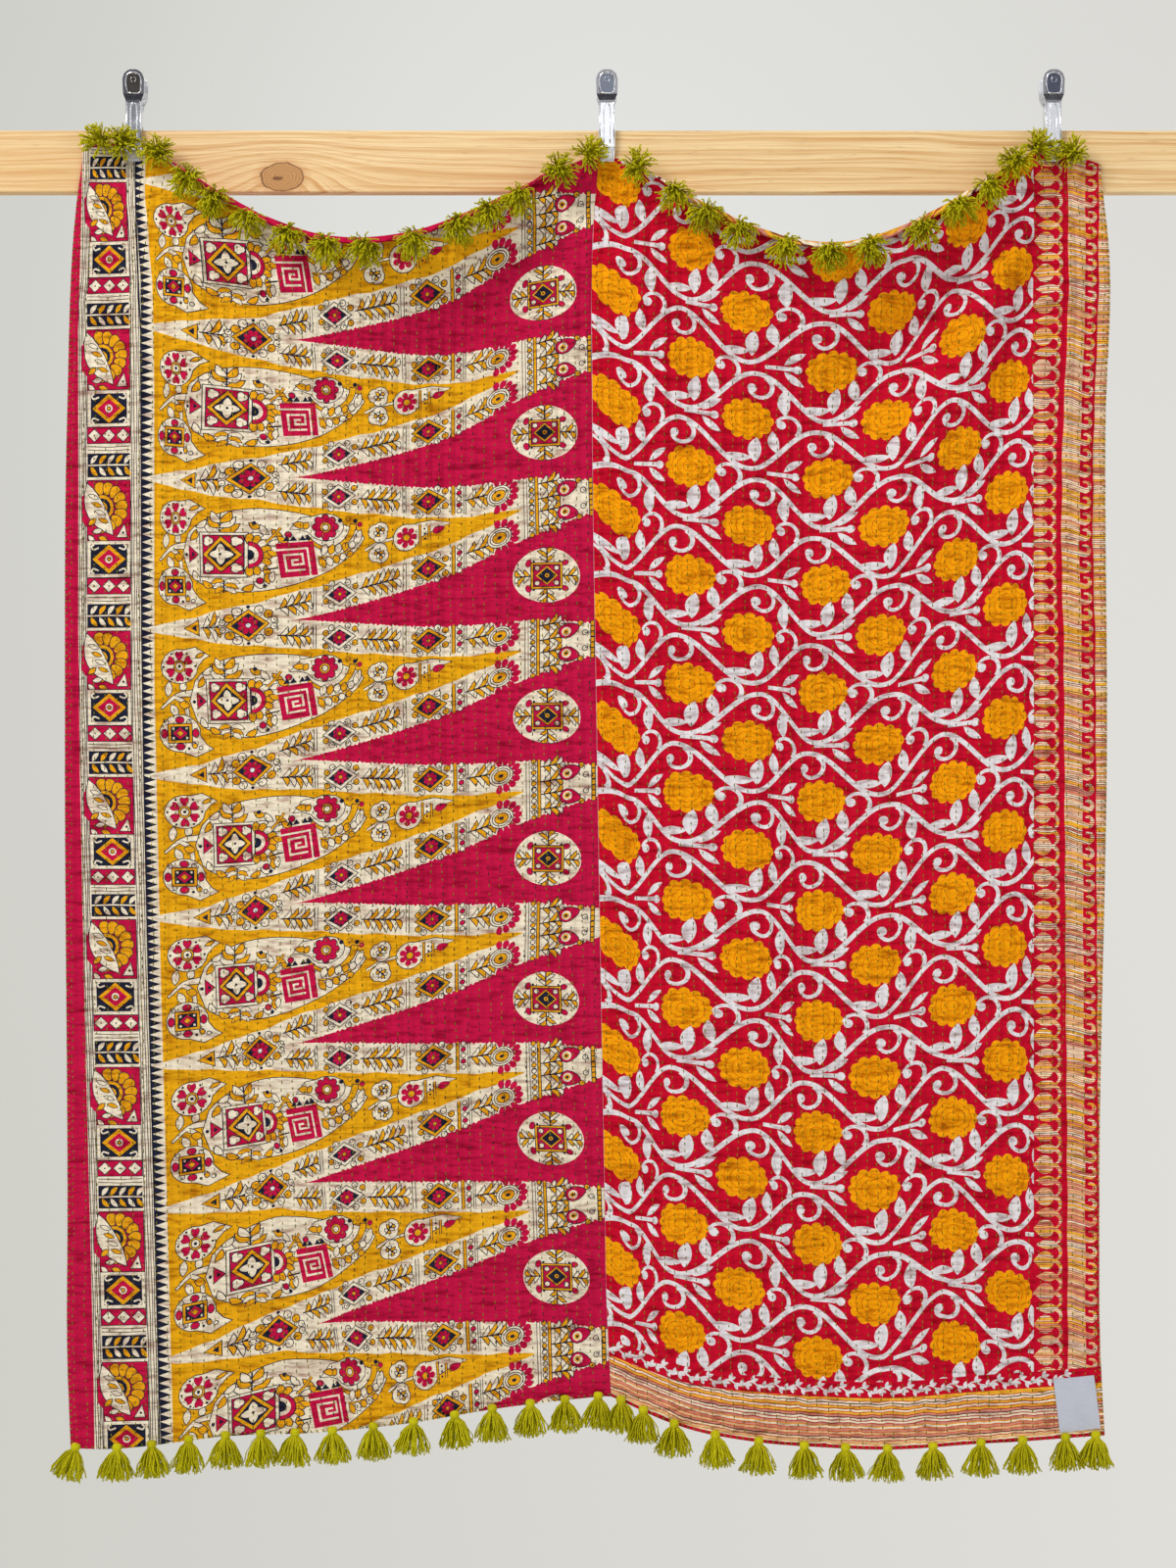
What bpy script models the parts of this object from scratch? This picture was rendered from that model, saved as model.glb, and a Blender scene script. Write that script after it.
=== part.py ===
"""Kantha throw hung by three spring clips from a pine rail.

The throw is two printed cotton panels sewn side by side, edged top and bottom with yarn
tassels. The origin is the rail's centre, +X runs along the rail, +Z is up, and the throw's
face looks along -Y. Everything is in metres.
"""

import math
from collections import namedtuple

import bmesh
import bpy
import numpy as np
from mathutils import Matrix, Vector
from mathutils.bvhtree import BVHTree

MM = 0.001
PIECE_GAP = 0.3 * MM

RAIL_LENGTH = 1440 * MM
RAIL_HEIGHT = 72 * MM
RAIL_DEPTH = 20 * MM
RAIL_EDGE = 1.5 * MM

CLOTH_THICK = 2.5 * MM
CLOTH_CLEARANCE = 2.4 * MM
COLUMNS = 24
ROLL_ROWS = 5
HANG_ROWS = 33
ROW_CROWDING = 1.35
SEAM_SQUARE = 0.04

# A swag of the top hem: where it starts and ends, how far it dips, and how much its lowest
# point leans to the left (1 is the middle).
Swag = namedtuple("Swag", "x0 z0 x1 z1 dip skew")
SWAGS = (
    Swag(-513 * MM, 18 * MM, 0 * MM, 5 * MM, 111 * MM, 0.93),
    Swag(36 * MM, 3 * MM, 531 * MM, 20 * MM, 115 * MM, 1.0),
)
CORNER_TOP_LEFT = (-588 * MM, 21 * MM)
CORNER_TOP_RIGHT = (596 * MM, -4 * MM)
SWAG_ROUND = 0.65

# Points that the bottom hem passes through, from the left corner to the seam and from the
# seam to the right corner.
HemPoint = namedtuple("HemPoint", "x z")
BOTTOM_LEFT = (
    HemPoint(-600 * MM, -1495 * MM),
    HemPoint(-562 * MM, -1497 * MM),
    HemPoint(-420 * MM, -1484 * MM),
    HemPoint(-222 * MM, -1469 * MM),
    HemPoint(-70 * MM, -1446 * MM),
    HemPoint(25 * MM, -1437 * MM),
)
BOTTOM_RIGHT = (
    HemPoint(25 * MM, -1437 * MM),
    HemPoint(117 * MM, -1473 * MM),
    HemPoint(194 * MM, -1488 * MM),
    HemPoint(296 * MM, -1498 * MM),
    HemPoint(480 * MM, -1490 * MM),
    HemPoint(599 * MM, -1480 * MM),
)

# X of the left edge, the seam and the right edge, down the throw: drop is 0 at the top hem
# and 1 at the bottom hem.
EdgePoint = namedtuple("EdgePoint", "drop left seam right")
UPRIGHTS = (
    EdgePoint(0.00, -588 * MM, 11 * MM, 597 * MM),
    EdgePoint(0.05, -597 * MM, 6 * MM, 605 * MM),
    EdgePoint(0.20, -606 * MM, 5 * MM, 601 * MM),
    EdgePoint(0.45, -608 * MM, 10 * MM, 602 * MM),
    EdgePoint(0.82, -604 * MM, 19 * MM, 593 * MM),
    EdgePoint(0.93, -604 * MM, 22 * MM, 594 * MM),
    EdgePoint(1.00, -600 * MM, 27 * MM, 599 * MM),
)

# Between the clips the top hem curls forward, and the cloth under it leans forward. A curl is
# an arc and a straight tail, and CURL_GROWTH says how fast it opens away from a clip.
ROLL_ARC = 12 * MM
ROLL_TAIL = 5 * MM
ROLL_ANGLE = math.radians(150)
CURL_GROWTH = 2.2
LEAN = 42 * MM
LEAN_REACH = 95 * MM
LEAN_SHARPNESS = 1.4
LEAN_FALL = 1.6

# Below the rail the cloth moves off the board's plane, within these limits.
HANG_REACH = 150 * MM
STAND_OFF = 4 * MM
MOST_BACK = 12 * MM
SOFTEN = 1 * MM
JAW_HALF = 11 * MM
GRIP_REACH = 34 * MM

# A fold that runs from a clip: its angle from straight down (to the right is positive), how
# long it is, how wide, and how far it stands forward (troughs are negative).
Fold = namedtuple("Fold", "clip angle length width rise")
FOLDS = (
    Fold(0, 50, 0.30, 0.030, 0.013),
    Fold(0, 35, 0.42, 0.030, -0.010),
    Fold(0, 19, 0.55, 0.032, 0.009),
    Fold(0, 1, 0.60, 0.028, 0.006),
    Fold(1, -57, 0.28, 0.028, 0.009),
    Fold(1, -38, 0.36, 0.030, -0.008),
    Fold(1, -17, 0.45, 0.032, 0.007),
    Fold(1, 15, 0.50, 0.034, 0.008),
    Fold(1, 35, 0.36, 0.030, -0.009),
    Fold(1, 54, 0.28, 0.028, 0.010),
    Fold(2, -54, 0.36, 0.030, 0.016),
    Fold(2, -39, 0.48, 0.028, -0.013),
    Fold(2, -25, 0.62, 0.032, 0.015),
    Fold(2, -10, 0.85, 0.030, -0.009),
    Fold(2, 3, 0.70, 0.024, 0.007),
)

# Slow upright waves over the hanging cloth.
Wave = namedtuple("Wave", "length phase drift rise")
WAVES = (
    Wave(0.41, 0.6, 0.9, 0.0050),
    Wave(0.235, 2.1, -1.3, 0.0030),
    Wave(0.137, 0.2, 1.7, 0.0012),
)

Clip = namedtuple("Clip", "name x")
CLIPS = (Clip("left", -528 * MM), Clip("centre", 22 * MM), Clip("right", 541 * MM))
CLIP_TIP_Z = -1 * MM
CLIP_PIN_Z = 50.5 * MM
CLIP_SHEET = 1.2 * MM
PIN_RADIUS = 4 * MM
HOLE_RADIUS = 3.2 * MM
HOLE_Z = 93 * MM
HOLE_CUT = 20 * MM

# A station up a clip's lever: its height over the rail's centre, how far the web and the
# flanges' edges stand out from the jaw's gripping face (inwards is negative), and its half
# width.
Station = namedtuple("Station", "z web reach half")
FRONT_LEVER = (
    Station(-1, 0.0, 0.0, 8.0),
    Station(11, 0.0, 0.0, 9.0),
    Station(16, 2.6, 0.4, 9.2),
    Station(36, 3.4, 0.6, 9.4),
    Station(43, 3.0, -6.0, 9.4),
    Station(47, 2.6, -14.5, 9.4),
    Station(54, 2.4, -14.5, 9.4),
    Station(58, 2.4, -5.0, 9.4),
    Station(67, 2.6, 0.0, 9.2),
    Station(70, 3.0, 0.6, 9.4),
    Station(77, 4.4, 1.8, 12.2),
    Station(94, 6.6, 4.2, 12.6),
    Station(100, 7.4, 5.2, 10.4),
    Station(103, 7.8, 6.0, 7.0),
    Station(104.5, 8.0, 6.8, 3.5),
)
REAR_NARROWER = 1.6
NESTED_FROM = 12
NESTED_TO = 70

BOTTOM_TASSEL_LENGTH = 44 * MM
TOP_TASSEL_LENGTH = 40 * MM
HEAD_RADIUS = 5.3 * MM
NECK_RADIUS = 1.8 * MM
WAIST_RADIUS = 4.2 * MM
HEAD_SIDES = 6
BARE_SIDE = 4
# Rings of a tassel's head: the radius, and how far down each lies.
HeadRing = namedtuple("HeadRing", "radius drop")
HEAD_RINGS = (
    HeadRing(NECK_RADIUS, 0.0),
    HeadRing(HEAD_RADIUS, 3.2 * MM),
    HeadRing(HEAD_RADIUS, 7.2 * MM),
    HeadRing(WAIST_RADIUS, 10.4 * MM),
)
# A lock swells to LOCK_SWELL times its root at LOCK_MIDDLE of the tassel's length, and to
# LOCK_TIP times at its tip, or to LOCK_CLEAR of what keeps it off the next lock where that is
# less. It flares outwards at most SPREAD_MOST, and LOCK_FORWARD forwards.
LOCK_MIDDLE = 0.45
LOCK_SWELL = 2.4
LOCK_TIP = 3.2
LOCK_CLEAR = 0.85
LOCK_FORWARD = 10 * MM
LOCK_ROOM = 8.5 * MM
SPREAD_LEAST = 2 * MM
SPREAD_MOST = 14 * MM

# Tassels along the bottom hem, by the place of the head.
BOTTOM_TASSEL_X = (
    -592, -546, -507, -464, -421, -380, -339, -296, -249, -202, -155, -111, -67, -27,
    12, 38, 64, 100, 147, 198, 251, 299, 348, 400, 456, 504, 553, 588,
)
# Tassels along the top hem, by the place of the head. Those of one strip are in one row, and no
# strip crosses a clip.
TOP_STRIPS = (
    (-566, -546), (-500, -461), (-431, -390), (-345, -299), (-255, -200), (-149, -113),
    (-80, -34, 0), (56, 100), (135, 174), (225, 275), (324, 382), (425, 461), (494, 520), (566,),
)
# Tassels lean a little to either side, and the first of the bottom hem leans away to the left.
# Those of the top hem lie forward: up a little beside the clips, and down on the curled hem.
BOTTOM_SWING = 0.03
BOTTOM_FORWARD = 0.05
FIRST_LEAN = -0.3
HEAD_RISE = 3 * MM
TOP_SWING = 0.05
TOP_FORWARD = 0.80
TOP_RISE = 0.15
TOP_FALL = -0.60
SWING_STEP = 2.4
SEAT_STEP = 1.5 * MM

LABEL_CENTRE = (567 * MM, -1444 * MM)
LABEL_SIZE = (47 * MM, 62 * MM)
LABEL_TURN = math.radians(7)
LABEL_THICK = 0.9 * MM


def smooth_step(value):
    """0 below 0, 1 above 1, and a smooth rise between."""
    t = np.clip(value, 0.0, 1.0)
    return t * t * (3 - 2 * t)


def spline(knots, values, at):
    """A smooth curve through the values at the knots, by cubic pieces with centred slopes."""
    knots = np.asarray(knots, float)
    values = np.asarray(values, float)
    slopes = np.gradient(values, knots)
    at = np.clip(at, knots[0], knots[-1])
    i = np.clip(np.searchsorted(knots, at) - 1, 0, len(knots) - 2)
    step = knots[i + 1] - knots[i]
    t = (at - knots[i]) / step
    return (
        (2 * t**3 - 3 * t**2 + 1) * values[i]
        + (t**3 - 2 * t**2 + t) * step * slopes[i]
        + (3 * t**2 - 2 * t**3) * values[i + 1]
        + (t**3 - t**2) * step * slopes[i + 1]
    )


def swag_shape(swag, x):
    """0 outside a swag and 1 at its lowest point, by a parabola mixed with a squared sine."""
    t = np.clip((x - swag.x0) / (swag.x1 - swag.x0), 0, 1) ** swag.skew
    return SWAG_ROUND * 4 * t * (1 - t) + (1 - SWAG_ROUND) * np.sin(np.pi * t) ** 2


def swag_share(x):
    """How far into a swag x lies: 0 at the clips, 1 at a swag's lowest point."""
    return np.max([swag_shape(swag, x) for swag in SWAGS], axis=0)


def curl(x):
    """How far the hem's curl is open at x, 0 to 1."""
    return smooth_step(CURL_GROWTH * swag_share(x))


def crest_height(x):
    """Z of the top hem's crest at x: lines from clip to clip, less the swags' dips."""
    knots = [CORNER_TOP_LEFT]
    for swag in SWAGS:
        knots += [(swag.x0, swag.z0), (swag.x1, swag.z1)]
    knots.append(CORNER_TOP_RIGHT)
    line = np.interp(x, *zip(*knots))
    return line - sum(swag.dip * swag_shape(swag, x) for swag in SWAGS)


def bottom_height(x):
    """Z of the bottom hem at x."""
    left = spline([p.x for p in BOTTOM_LEFT], [p.z for p in BOTTOM_LEFT], x)
    right = spline([p.x for p in BOTTOM_RIGHT], [p.z for p in BOTTOM_RIGHT], x)
    return np.where(x < BOTTOM_LEFT[-1].x, left, right)


def gripped(x, z):
    """1 under a clip's jaw, falling to 0 a little way from it."""
    held = np.zeros_like(x)
    for clip in CLIPS:
        beside = 1 - smooth_step((np.abs(x - clip.x) - JAW_HALF) / GRIP_REACH)
        held = np.maximum(held, beside * (1 - smooth_step((CLIP_TIP_Z - z) / GRIP_REACH)))
    return held


def lean(x, z):
    """How far the cloth leans forward under a swag's curl."""
    drop = np.maximum(crest_height(x) - z, 0)
    return LEAN * swag_share(x) ** LEAN_SHARPNESS * np.exp(-((drop / LEAN_REACH) ** LEAN_FALL))


def fold_rise(fold, x, z):
    """How far one fold stands forward: it grows, widens and dies out away from its clip."""
    angle = math.radians(fold.angle)
    dx = x - CLIPS[fold.clip].x
    along = dx * math.sin(angle) - z * math.cos(angle)
    across = dx * math.cos(angle) + z * math.sin(angle)
    share = along / fold.length
    width = fold.width * (0.7 + 0.6 * np.clip(share, 0, 1.4))
    rise = smooth_step(share / 0.22) * (1 - smooth_step(share - 0.35))
    return fold.rise * rise * np.exp(-((across / width) ** 2))


def wave_rise(wave, x, z):
    """How far one slow wave stands forward."""
    return wave.rise * np.sin(2 * np.pi * x / wave.length + wave.phase + wave.drift * z)


def depth(x, z):
    """Y of the cloth's middle surface where it hangs at x and z.

    It starts at the rail's face, stands clear of the rail's lower edge, and adds the swags'
    forward lean, the clips' folds and the slow waves.
    """
    face = -(RAIL_DEPTH / 2 + PIECE_GAP + CLOTH_THICK / 2)
    clear = -(RAIL_DEPTH / 2 + CLOTH_CLEARANCE + CLOTH_THICK / 2)
    rest = face + (clear - face) * smooth_step(-z / (RAIL_HEIGHT / 2))
    hanging = smooth_step((-z - RAIL_HEIGHT / 2) / HANG_REACH)
    forward = lean(x, z) + sum(fold_rise(fold, x, z) for fold in FOLDS)
    forward = forward + hanging * (STAND_OFF + sum(wave_rise(wave, x, z) for wave in WAVES))
    least = -MOST_BACK * hanging
    over = forward - least
    forward = least + 0.5 * (over + np.sqrt(over**2 + SOFTEN**2))
    return rest - forward * (1 - gripped(x, z))


def upright_x(column, drop):
    """X of a column of the cloth: -1 the left edge, 0 the seam, 1 the right edge."""
    knots = [p.drop for p in UPRIGHTS]
    left = spline(knots, [p.left for p in UPRIGHTS], drop)
    seam = spline(knots, [p.seam for p in UPRIGHTS], drop)
    right = spline(knots, [p.right for p in UPRIGHTS], drop)
    return np.where(column < 0, seam + (seam - left) * column, seam + (right - seam) * column)


def roll(x, q):
    """(forward, up) along the curled hem, q from 0 where the curl starts to 1 at its edge."""
    angle = np.maximum(ROLL_ANGLE * curl(x), 1e-3)
    length = q * (ROLL_ARC + ROLL_TAIL)
    arc = np.minimum(length, ROLL_ARC)
    tail = length - arc
    bend = angle / ROLL_ARC
    forward = (1 - np.cos(bend * arc)) / bend + tail * np.sin(angle)
    up = np.sin(bend * arc) / bend + tail * np.cos(angle)
    return forward, up


def roll_height(x):
    """How high the curl rises over its start."""
    samples = [roll(x, np.full_like(x, q))[1] for q in np.linspace(0, 1, 41)]
    return np.max(samples, axis=0)


def cloth_point(column, drop):
    """The cloth's middle surface. drop is 0 to 1 down the hanging part, and 0 to -1 up the curl."""
    column, drop = np.broadcast_arrays(np.asarray(column, float), np.asarray(drop, float))
    hang = np.clip(drop, 0, 1)
    x = upright_x(column, hang)
    start = crest_height(x) - roll_height(x)
    z = start + (bottom_height(x) - start) * hang
    forward, up = roll(x, np.clip(-drop, 0, 1))
    return np.stack([x, depth(x, z + up) - forward, z + up], axis=-1)


def cloth_normal(column, drop):
    """The unit normal of the face side, by small steps along the surface.

    Beside the seam it has no sideways part, so that the two panels meet square.
    """
    step = 1e-3
    across = cloth_point(column + step, drop) - cloth_point(column - step, drop)
    down = cloth_point(column, drop + step) - cloth_point(column, drop - step)
    normal = np.cross(down, across)
    normal[..., 0] *= smooth_step(np.abs(column) / SEAM_SQUARE)
    return normal / np.linalg.norm(normal, axis=-1, keepdims=True)


def principled(name, colour, roughness, metallic=0.0):
    """A plain material."""
    material = bpy.data.materials.new(name)
    material.use_nodes = True
    shader = material.node_tree.nodes["Principled BSDF"]
    shader.inputs["Base Color"].default_value = (*colour, 1)
    shader.inputs["Roughness"].default_value = roughness
    shader.inputs["Metallic"].default_value = metallic
    return material


def new_object(name, mesh_data, material, smooth=True):
    """An object for a bmesh, with its faces pointing out."""
    bmesh.ops.recalc_face_normals(mesh_data, faces=mesh_data.faces)
    mesh = bpy.data.meshes.new(name)
    mesh_data.to_mesh(mesh)
    mesh_data.free()
    mesh.materials.append(material)
    if smooth:
        mesh.shade_smooth()
        mesh.set_sharp_from_angle(angle=math.radians(40))
    thing = bpy.data.objects.new(name, mesh)
    bpy.context.scene.collection.objects.link(thing)
    return thing


def grid_solid(front, back):
    """A closed bmesh between two grids of points with the same rows and columns."""
    shape = bmesh.new()
    rows, columns = front.shape[:2]
    sides = [
        [[shape.verts.new(grid[r, c]) for c in range(columns)] for r in range(rows)]
        for grid in (front, back)
    ]
    for side in sides:
        for r in range(rows - 1):
            for c in range(columns - 1):
                shape.faces.new((side[r][c], side[r][c + 1], side[r + 1][c + 1], side[r + 1][c]))
    rim = [(0, c) for c in range(columns)]
    rim += [(r, columns - 1) for r in range(1, rows)]
    rim += [(rows - 1, c) for c in range(columns - 2, -1, -1)]
    rim += [(r, 0) for r in range(rows - 2, 0, -1)]
    for (r0, c0), (r1, c1) in zip(rim, rim[1:] + rim[:1]):
        shape.faces.new((sides[0][r0][c0], sides[0][r1][c1], sides[1][r1][c1], sides[1][r0][c0]))
    return shape


def drops():
    """Rows down the cloth: the curl's, then the hanging part's, closer together near the top."""
    curl = np.linspace(-1, 0, ROLL_ROWS + 1)[:-1]
    hang = np.linspace(0, 1, HANG_ROWS + 1) ** ROW_CROWDING
    return np.concatenate([curl, hang])


def column_at(x):
    """The column of the cloth that passes x at the top hem."""
    top = UPRIGHTS[0]
    half = top.seam - top.left if x < top.seam else top.right - top.seam
    return (x - top.seam) / half


def columns(first, last):
    """Columns across a panel: evenly spaced, with one on each side of every jaw."""
    jaws = [column_at(clip.x + side * JAW_HALF) for clip in CLIPS for side in (-1, 1)]
    jaws = [jaw for jaw in jaws if first < jaw < last]
    near = 0.3 * (last - first) / COLUMNS
    even = np.linspace(first, last, COLUMNS + 1)[1:-1]
    clear = [column for column in even if all(abs(column - jaw) > near for jaw in jaws)]
    return np.array(sorted([first, last] + jaws + clear))


def make_panel(name, first, last, material):
    """One panel of the throw between two columns, with its true thickness."""
    column, drop = np.meshgrid(columns(first, last), drops())
    middle = cloth_point(column, drop)
    normal = cloth_normal(column, drop)
    half = CLOTH_THICK / 2
    return new_object(name, grid_solid(middle + normal * half, middle - normal * half), material)


def make_rail(material):
    """The planed board that the clips grip."""
    shape = bmesh.new()
    bmesh.ops.create_cube(shape, size=1)
    bmesh.ops.scale(shape, vec=(RAIL_LENGTH, RAIL_DEPTH, RAIL_HEIGHT), verts=shape.verts)
    long_edges = [e for e in shape.edges if abs(e.verts[0].co.x - e.verts[1].co.x) > RAIL_LENGTH / 2]
    bmesh.ops.bevel(shape, geom=long_edges, offset=RAIL_EDGE, segments=2, affect="EDGES", profile=0.5)
    return new_object("rail", shape, material)


def channel_section(station, side, grip, narrower):
    """Eight corners of a lever's U section at one station, at side -1 (front) or 1 (rear)."""
    half = (station.half - narrower) * MM
    web_in = grip + side * station.web * MM
    web_out = web_in + side * CLIP_SHEET
    reach = grip + side * min(station.reach, station.web - 0.05) * MM
    inner = half - CLIP_SHEET
    z = station.z * MM
    return [
        (-half, web_out, z), (half, web_out, z), (half, reach, z), (inner, reach, z),
        (inner, web_in, z), (-inner, web_in, z), (-inner, reach, z), (-half, reach, z),
    ]


def make_lever(name, clip, side, grip, narrower, material):
    """A pressed lever: one channel section carried up from the jaw's tip to the rounded head."""
    shape = bmesh.new()
    rings = []
    for station in FRONT_LEVER:
        slim = narrower if NESTED_FROM < station.z < NESTED_TO else 0.0
        corners = channel_section(station, side, grip, slim)
        rings.append([shape.verts.new((clip.x + x, y, z)) for x, y, z in corners])
    for low, high in zip(rings, rings[1:]):
        for i in range(len(low)):
            j = (i + 1) % len(low)
            shape.faces.new((low[i], low[j], high[j], high[i]))
    for ring in (rings[0], rings[-1]):
        shape.faces.new((ring[0], ring[1], ring[4], ring[5]))
        shape.faces.new((ring[1], ring[2], ring[3], ring[4]))
        shape.faces.new((ring[5], ring[6], ring[7], ring[0]))
    lever = new_object(name, shape, material)
    centre = (clip.x, grip + side * HOLE_CUT / 2, HOLE_Z)
    cutter = make_cylinder(f"{name}_hole_cutter", centre, "Y", HOLE_RADIUS, HOLE_CUT, 10, material)
    cutter.hide_render = True
    cutter.display_type = "WIRE"
    cut = lever.modifiers.new("hole", "BOOLEAN")
    cut.object = cutter
    cut.operation = "DIFFERENCE"
    return lever


def make_cylinder(name, centre, axis, radius, length, sides, material):
    """A closed cylinder along X or Y."""
    shape = bmesh.new()
    bmesh.ops.create_cone(
        shape, cap_ends=True, segments=sides, radius1=radius, radius2=radius, depth=length
    )
    turn = {"X": Vector((1, 0, 0)), "Y": Vector((0, 1, 0))}[axis]
    rotation = Vector((0, 0, 1)).rotation_difference(turn).to_matrix()
    bmesh.ops.rotate(shape, matrix=rotation, verts=shape.verts)
    bmesh.ops.translate(shape, vec=centre, verts=shape.verts)
    return new_object(name, shape, material)


def make_clip(clip, material):
    """A spring clip: a lever in front of the cloth, one behind the rail, and the pin between.

    Returns the front lever.
    """
    front_grip = -(RAIL_DEPTH / 2 + 2 * PIECE_GAP + CLOTH_THICK)
    rear_grip = RAIL_DEPTH / 2 + PIECE_GAP
    front = make_lever(f"clip_{clip.name}_front_lever", clip, -1, front_grip, 0.0, material)
    make_lever(f"clip_{clip.name}_rear_lever", clip, 1, rear_grip, REAR_NARROWER, material)
    widest = max(station.half for station in FRONT_LEVER if station.z < NESTED_TO)
    inner = (widest - REAR_NARROWER) * MM - CLIP_SHEET
    centre = (clip.x, (front_grip + rear_grip) / 2, CLIP_PIN_Z)
    length = 2 * (inner - PIECE_GAP)
    make_cylinder(f"clip_{clip.name}_spring", centre, "X", PIN_RADIUS, length, 12, material)
    return front


def add_tassel(shape, top, axis, side, spread, length):
    """A tassel in a bmesh: a six-sided head and locks drawn out of the head's underside.

    Returns the head's two side faces, where a strip may join.
    """
    axis = Vector(axis).normalized()
    side = (Vector(side) - axis * Vector(side).dot(axis)).normalized()
    other = axis.cross(side)
    rings = []
    for ring in HEAD_RINGS:
        rings.append([])
        for i in range(HEAD_SIDES):
            turn = math.tau * (i + 0.5) / HEAD_SIDES
            out = side * math.cos(turn) + other * math.sin(turn)
            rings[-1].append(shape.verts.new(top + axis * ring.drop + out * ring.radius))
    shape.faces.new(rings[0])
    walls = []
    for low, high in zip(rings, rings[1:]):
        for i in range(HEAD_SIDES):
            j = (i + 1) % HEAD_SIDES
            walls.append(shape.faces.new((low[i], low[j], high[j], high[i])))
    base = HEAD_RINGS[-1].drop
    pole = shape.verts.new(top + axis * (base + 1.0 * MM))
    for i in range(HEAD_SIDES):
        j = (i + 1) % HEAD_SIDES
        root = [pole, rings[-1][i], rings[-1][j]]
        if i == BARE_SIDE:
            shape.faces.new(root)
            continue
        turn = math.tau * (i + 1) / HEAD_SIDES
        forward = min(spread, LOCK_FORWARD)
        out = side * math.cos(turn) * spread + other * math.sin(turn) * forward
        centre = sum((v.co for v in root), Vector()) / 3
        off_axis = WAIST_RADIUS * math.cos(math.pi / HEAD_SIDES) * 2 / 3
        previous = root
        for share, most in ((LOCK_MIDDLE, LOCK_SWELL), (1.0, LOCK_TIP)):
            push = out * share**0.8
            middle = centre + axis * (length - base) * share + push
            swell = min(most, 1 + LOCK_CLEAR * push.length / off_axis)
            ring = [shape.verts.new(middle + (v.co - centre) * swell) for v in root]
            for a in range(3):
                b = (a + 1) % 3
                shape.faces.new((previous[a], previous[b], ring[b], ring[a]))
            previous = ring
        shape.faces.new(previous)
    belt = walls[HEAD_SIDES : 2 * HEAD_SIDES]
    return belt[HEAD_SIDES - 1], belt[HEAD_SIDES // 2 - 1]


def edge_points(mesh, low, high):
    """Points a small step apart along the edges of a mesh that pass a box in X and Z."""
    found = []
    for edge in mesh.edges:
        a, b = (mesh.vertices[i].co for i in edge.vertices)
        passes_x = min(a.x, b.x) <= high.x and max(a.x, b.x) >= low.x
        passes_z = min(a.z, b.z) <= high.z and max(a.z, b.z) >= low.z
        if passes_x and passes_z:
            steps = max(1, math.ceil((b - a).length / SEAT_STEP))
            found += [a.lerp(b, i / steps) for i in range(steps + 1)]
    return found


def mesh_tree(mesh):
    """A search tree over a mesh's faces."""
    return BVHTree.FromPolygons([v.co for v in mesh.vertices], [p.vertices[:] for p in mesh.polygons])


def seat(thing, carriers):
    """Moves a piece along Y until it lies one gap in front of the carriers.

    The distance is the least that any edge of either has to travel along Y to meet the other.
    """
    corners = [v.co for v in thing.data.vertices]
    low = Vector([min(c[k] for c in corners) for k in range(3)])
    high = Vector([max(c[k] for c in corners) for k in range(3)])
    points = edge_points(thing.data, low, high)
    own = mesh_tree(thing.data)
    room = math.inf
    for carrier in carriers:
        tree = mesh_tree(carrier.data)
        for point in points:
            hit = tree.ray_cast(Vector((point.x, -1, point.z)), Vector((0, 1, 0)))[0]
            if hit is not None:
                room = min(room, hit.y - point.y)
        for point in edge_points(carrier.data, low, high):
            hit = own.ray_cast(Vector((point.x, 1, point.z)), Vector((0, -1, 0)))[0]
            if hit is not None:
                room = min(room, point.y - hit.y)
    if room < math.inf:
        thing.data.transform(Matrix.Translation((0, room - PIECE_GAP, 0)))


def hem_point(x, drop):
    """The point at x on the top hem's edge (drop -1) or the bottom hem's (drop 1)."""
    across = np.linspace(-1, 1, 801)
    edge = cloth_point(across, drop)
    return Vector(cloth_point(np.interp(x, edge[:, 0], across), drop))


def spreads(places):
    """Half the room that each tassel has beside its nearer neighbour."""
    places = np.array(places, float) * MM
    gaps = np.diff(places)
    room = np.minimum(np.append(gaps[0], gaps), np.append(gaps, gaps[-1]))
    return np.clip(room / 2 - LOCK_ROOM, SPREAD_LEAST, SPREAD_MOST)


def make_bottom_tassels(material, carriers):
    """One tassel after another along the bottom hem, each head in front of the hem's edge."""
    for number, (place, spread) in enumerate(zip(BOTTOM_TASSEL_X, spreads(BOTTOM_TASSEL_X)), 1):
        leftward = FIRST_LEAN if number == 1 else BOTTOM_SWING * math.sin(SWING_STEP * number)
        top = hem_point(place * MM, 1.0) + Vector((0, -CLOTH_THICK / 2 - HEAD_RADIUS, HEAD_RISE))
        shape = bmesh.new()
        axis = (leftward, -BOTTOM_FORWARD, -1)
        add_tassel(shape, top, axis, (1, 0, 0), spread, BOTTOM_TASSEL_LENGTH)
        seat(new_object(f"tassel_bottom_{number:02d}", shape, material), carriers)


def add_top_tassel(shape, place, number, spread):
    """One tassel of the top hem in a strip's bmesh. Returns its two side faces."""
    top = hem_point(place, -1.0) + Vector((0, -CLOTH_THICK / 2 - NECK_RADIUS, 0))
    rise = TOP_RISE + (TOP_FALL - TOP_RISE) * float(curl(np.array(place)))
    axis = (TOP_SWING * math.sin(SWING_STEP * number), -TOP_FORWARD, rise)
    return add_tassel(shape, top, axis, (1, 0, 0), spread, TOP_TASSEL_LENGTH)


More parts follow.
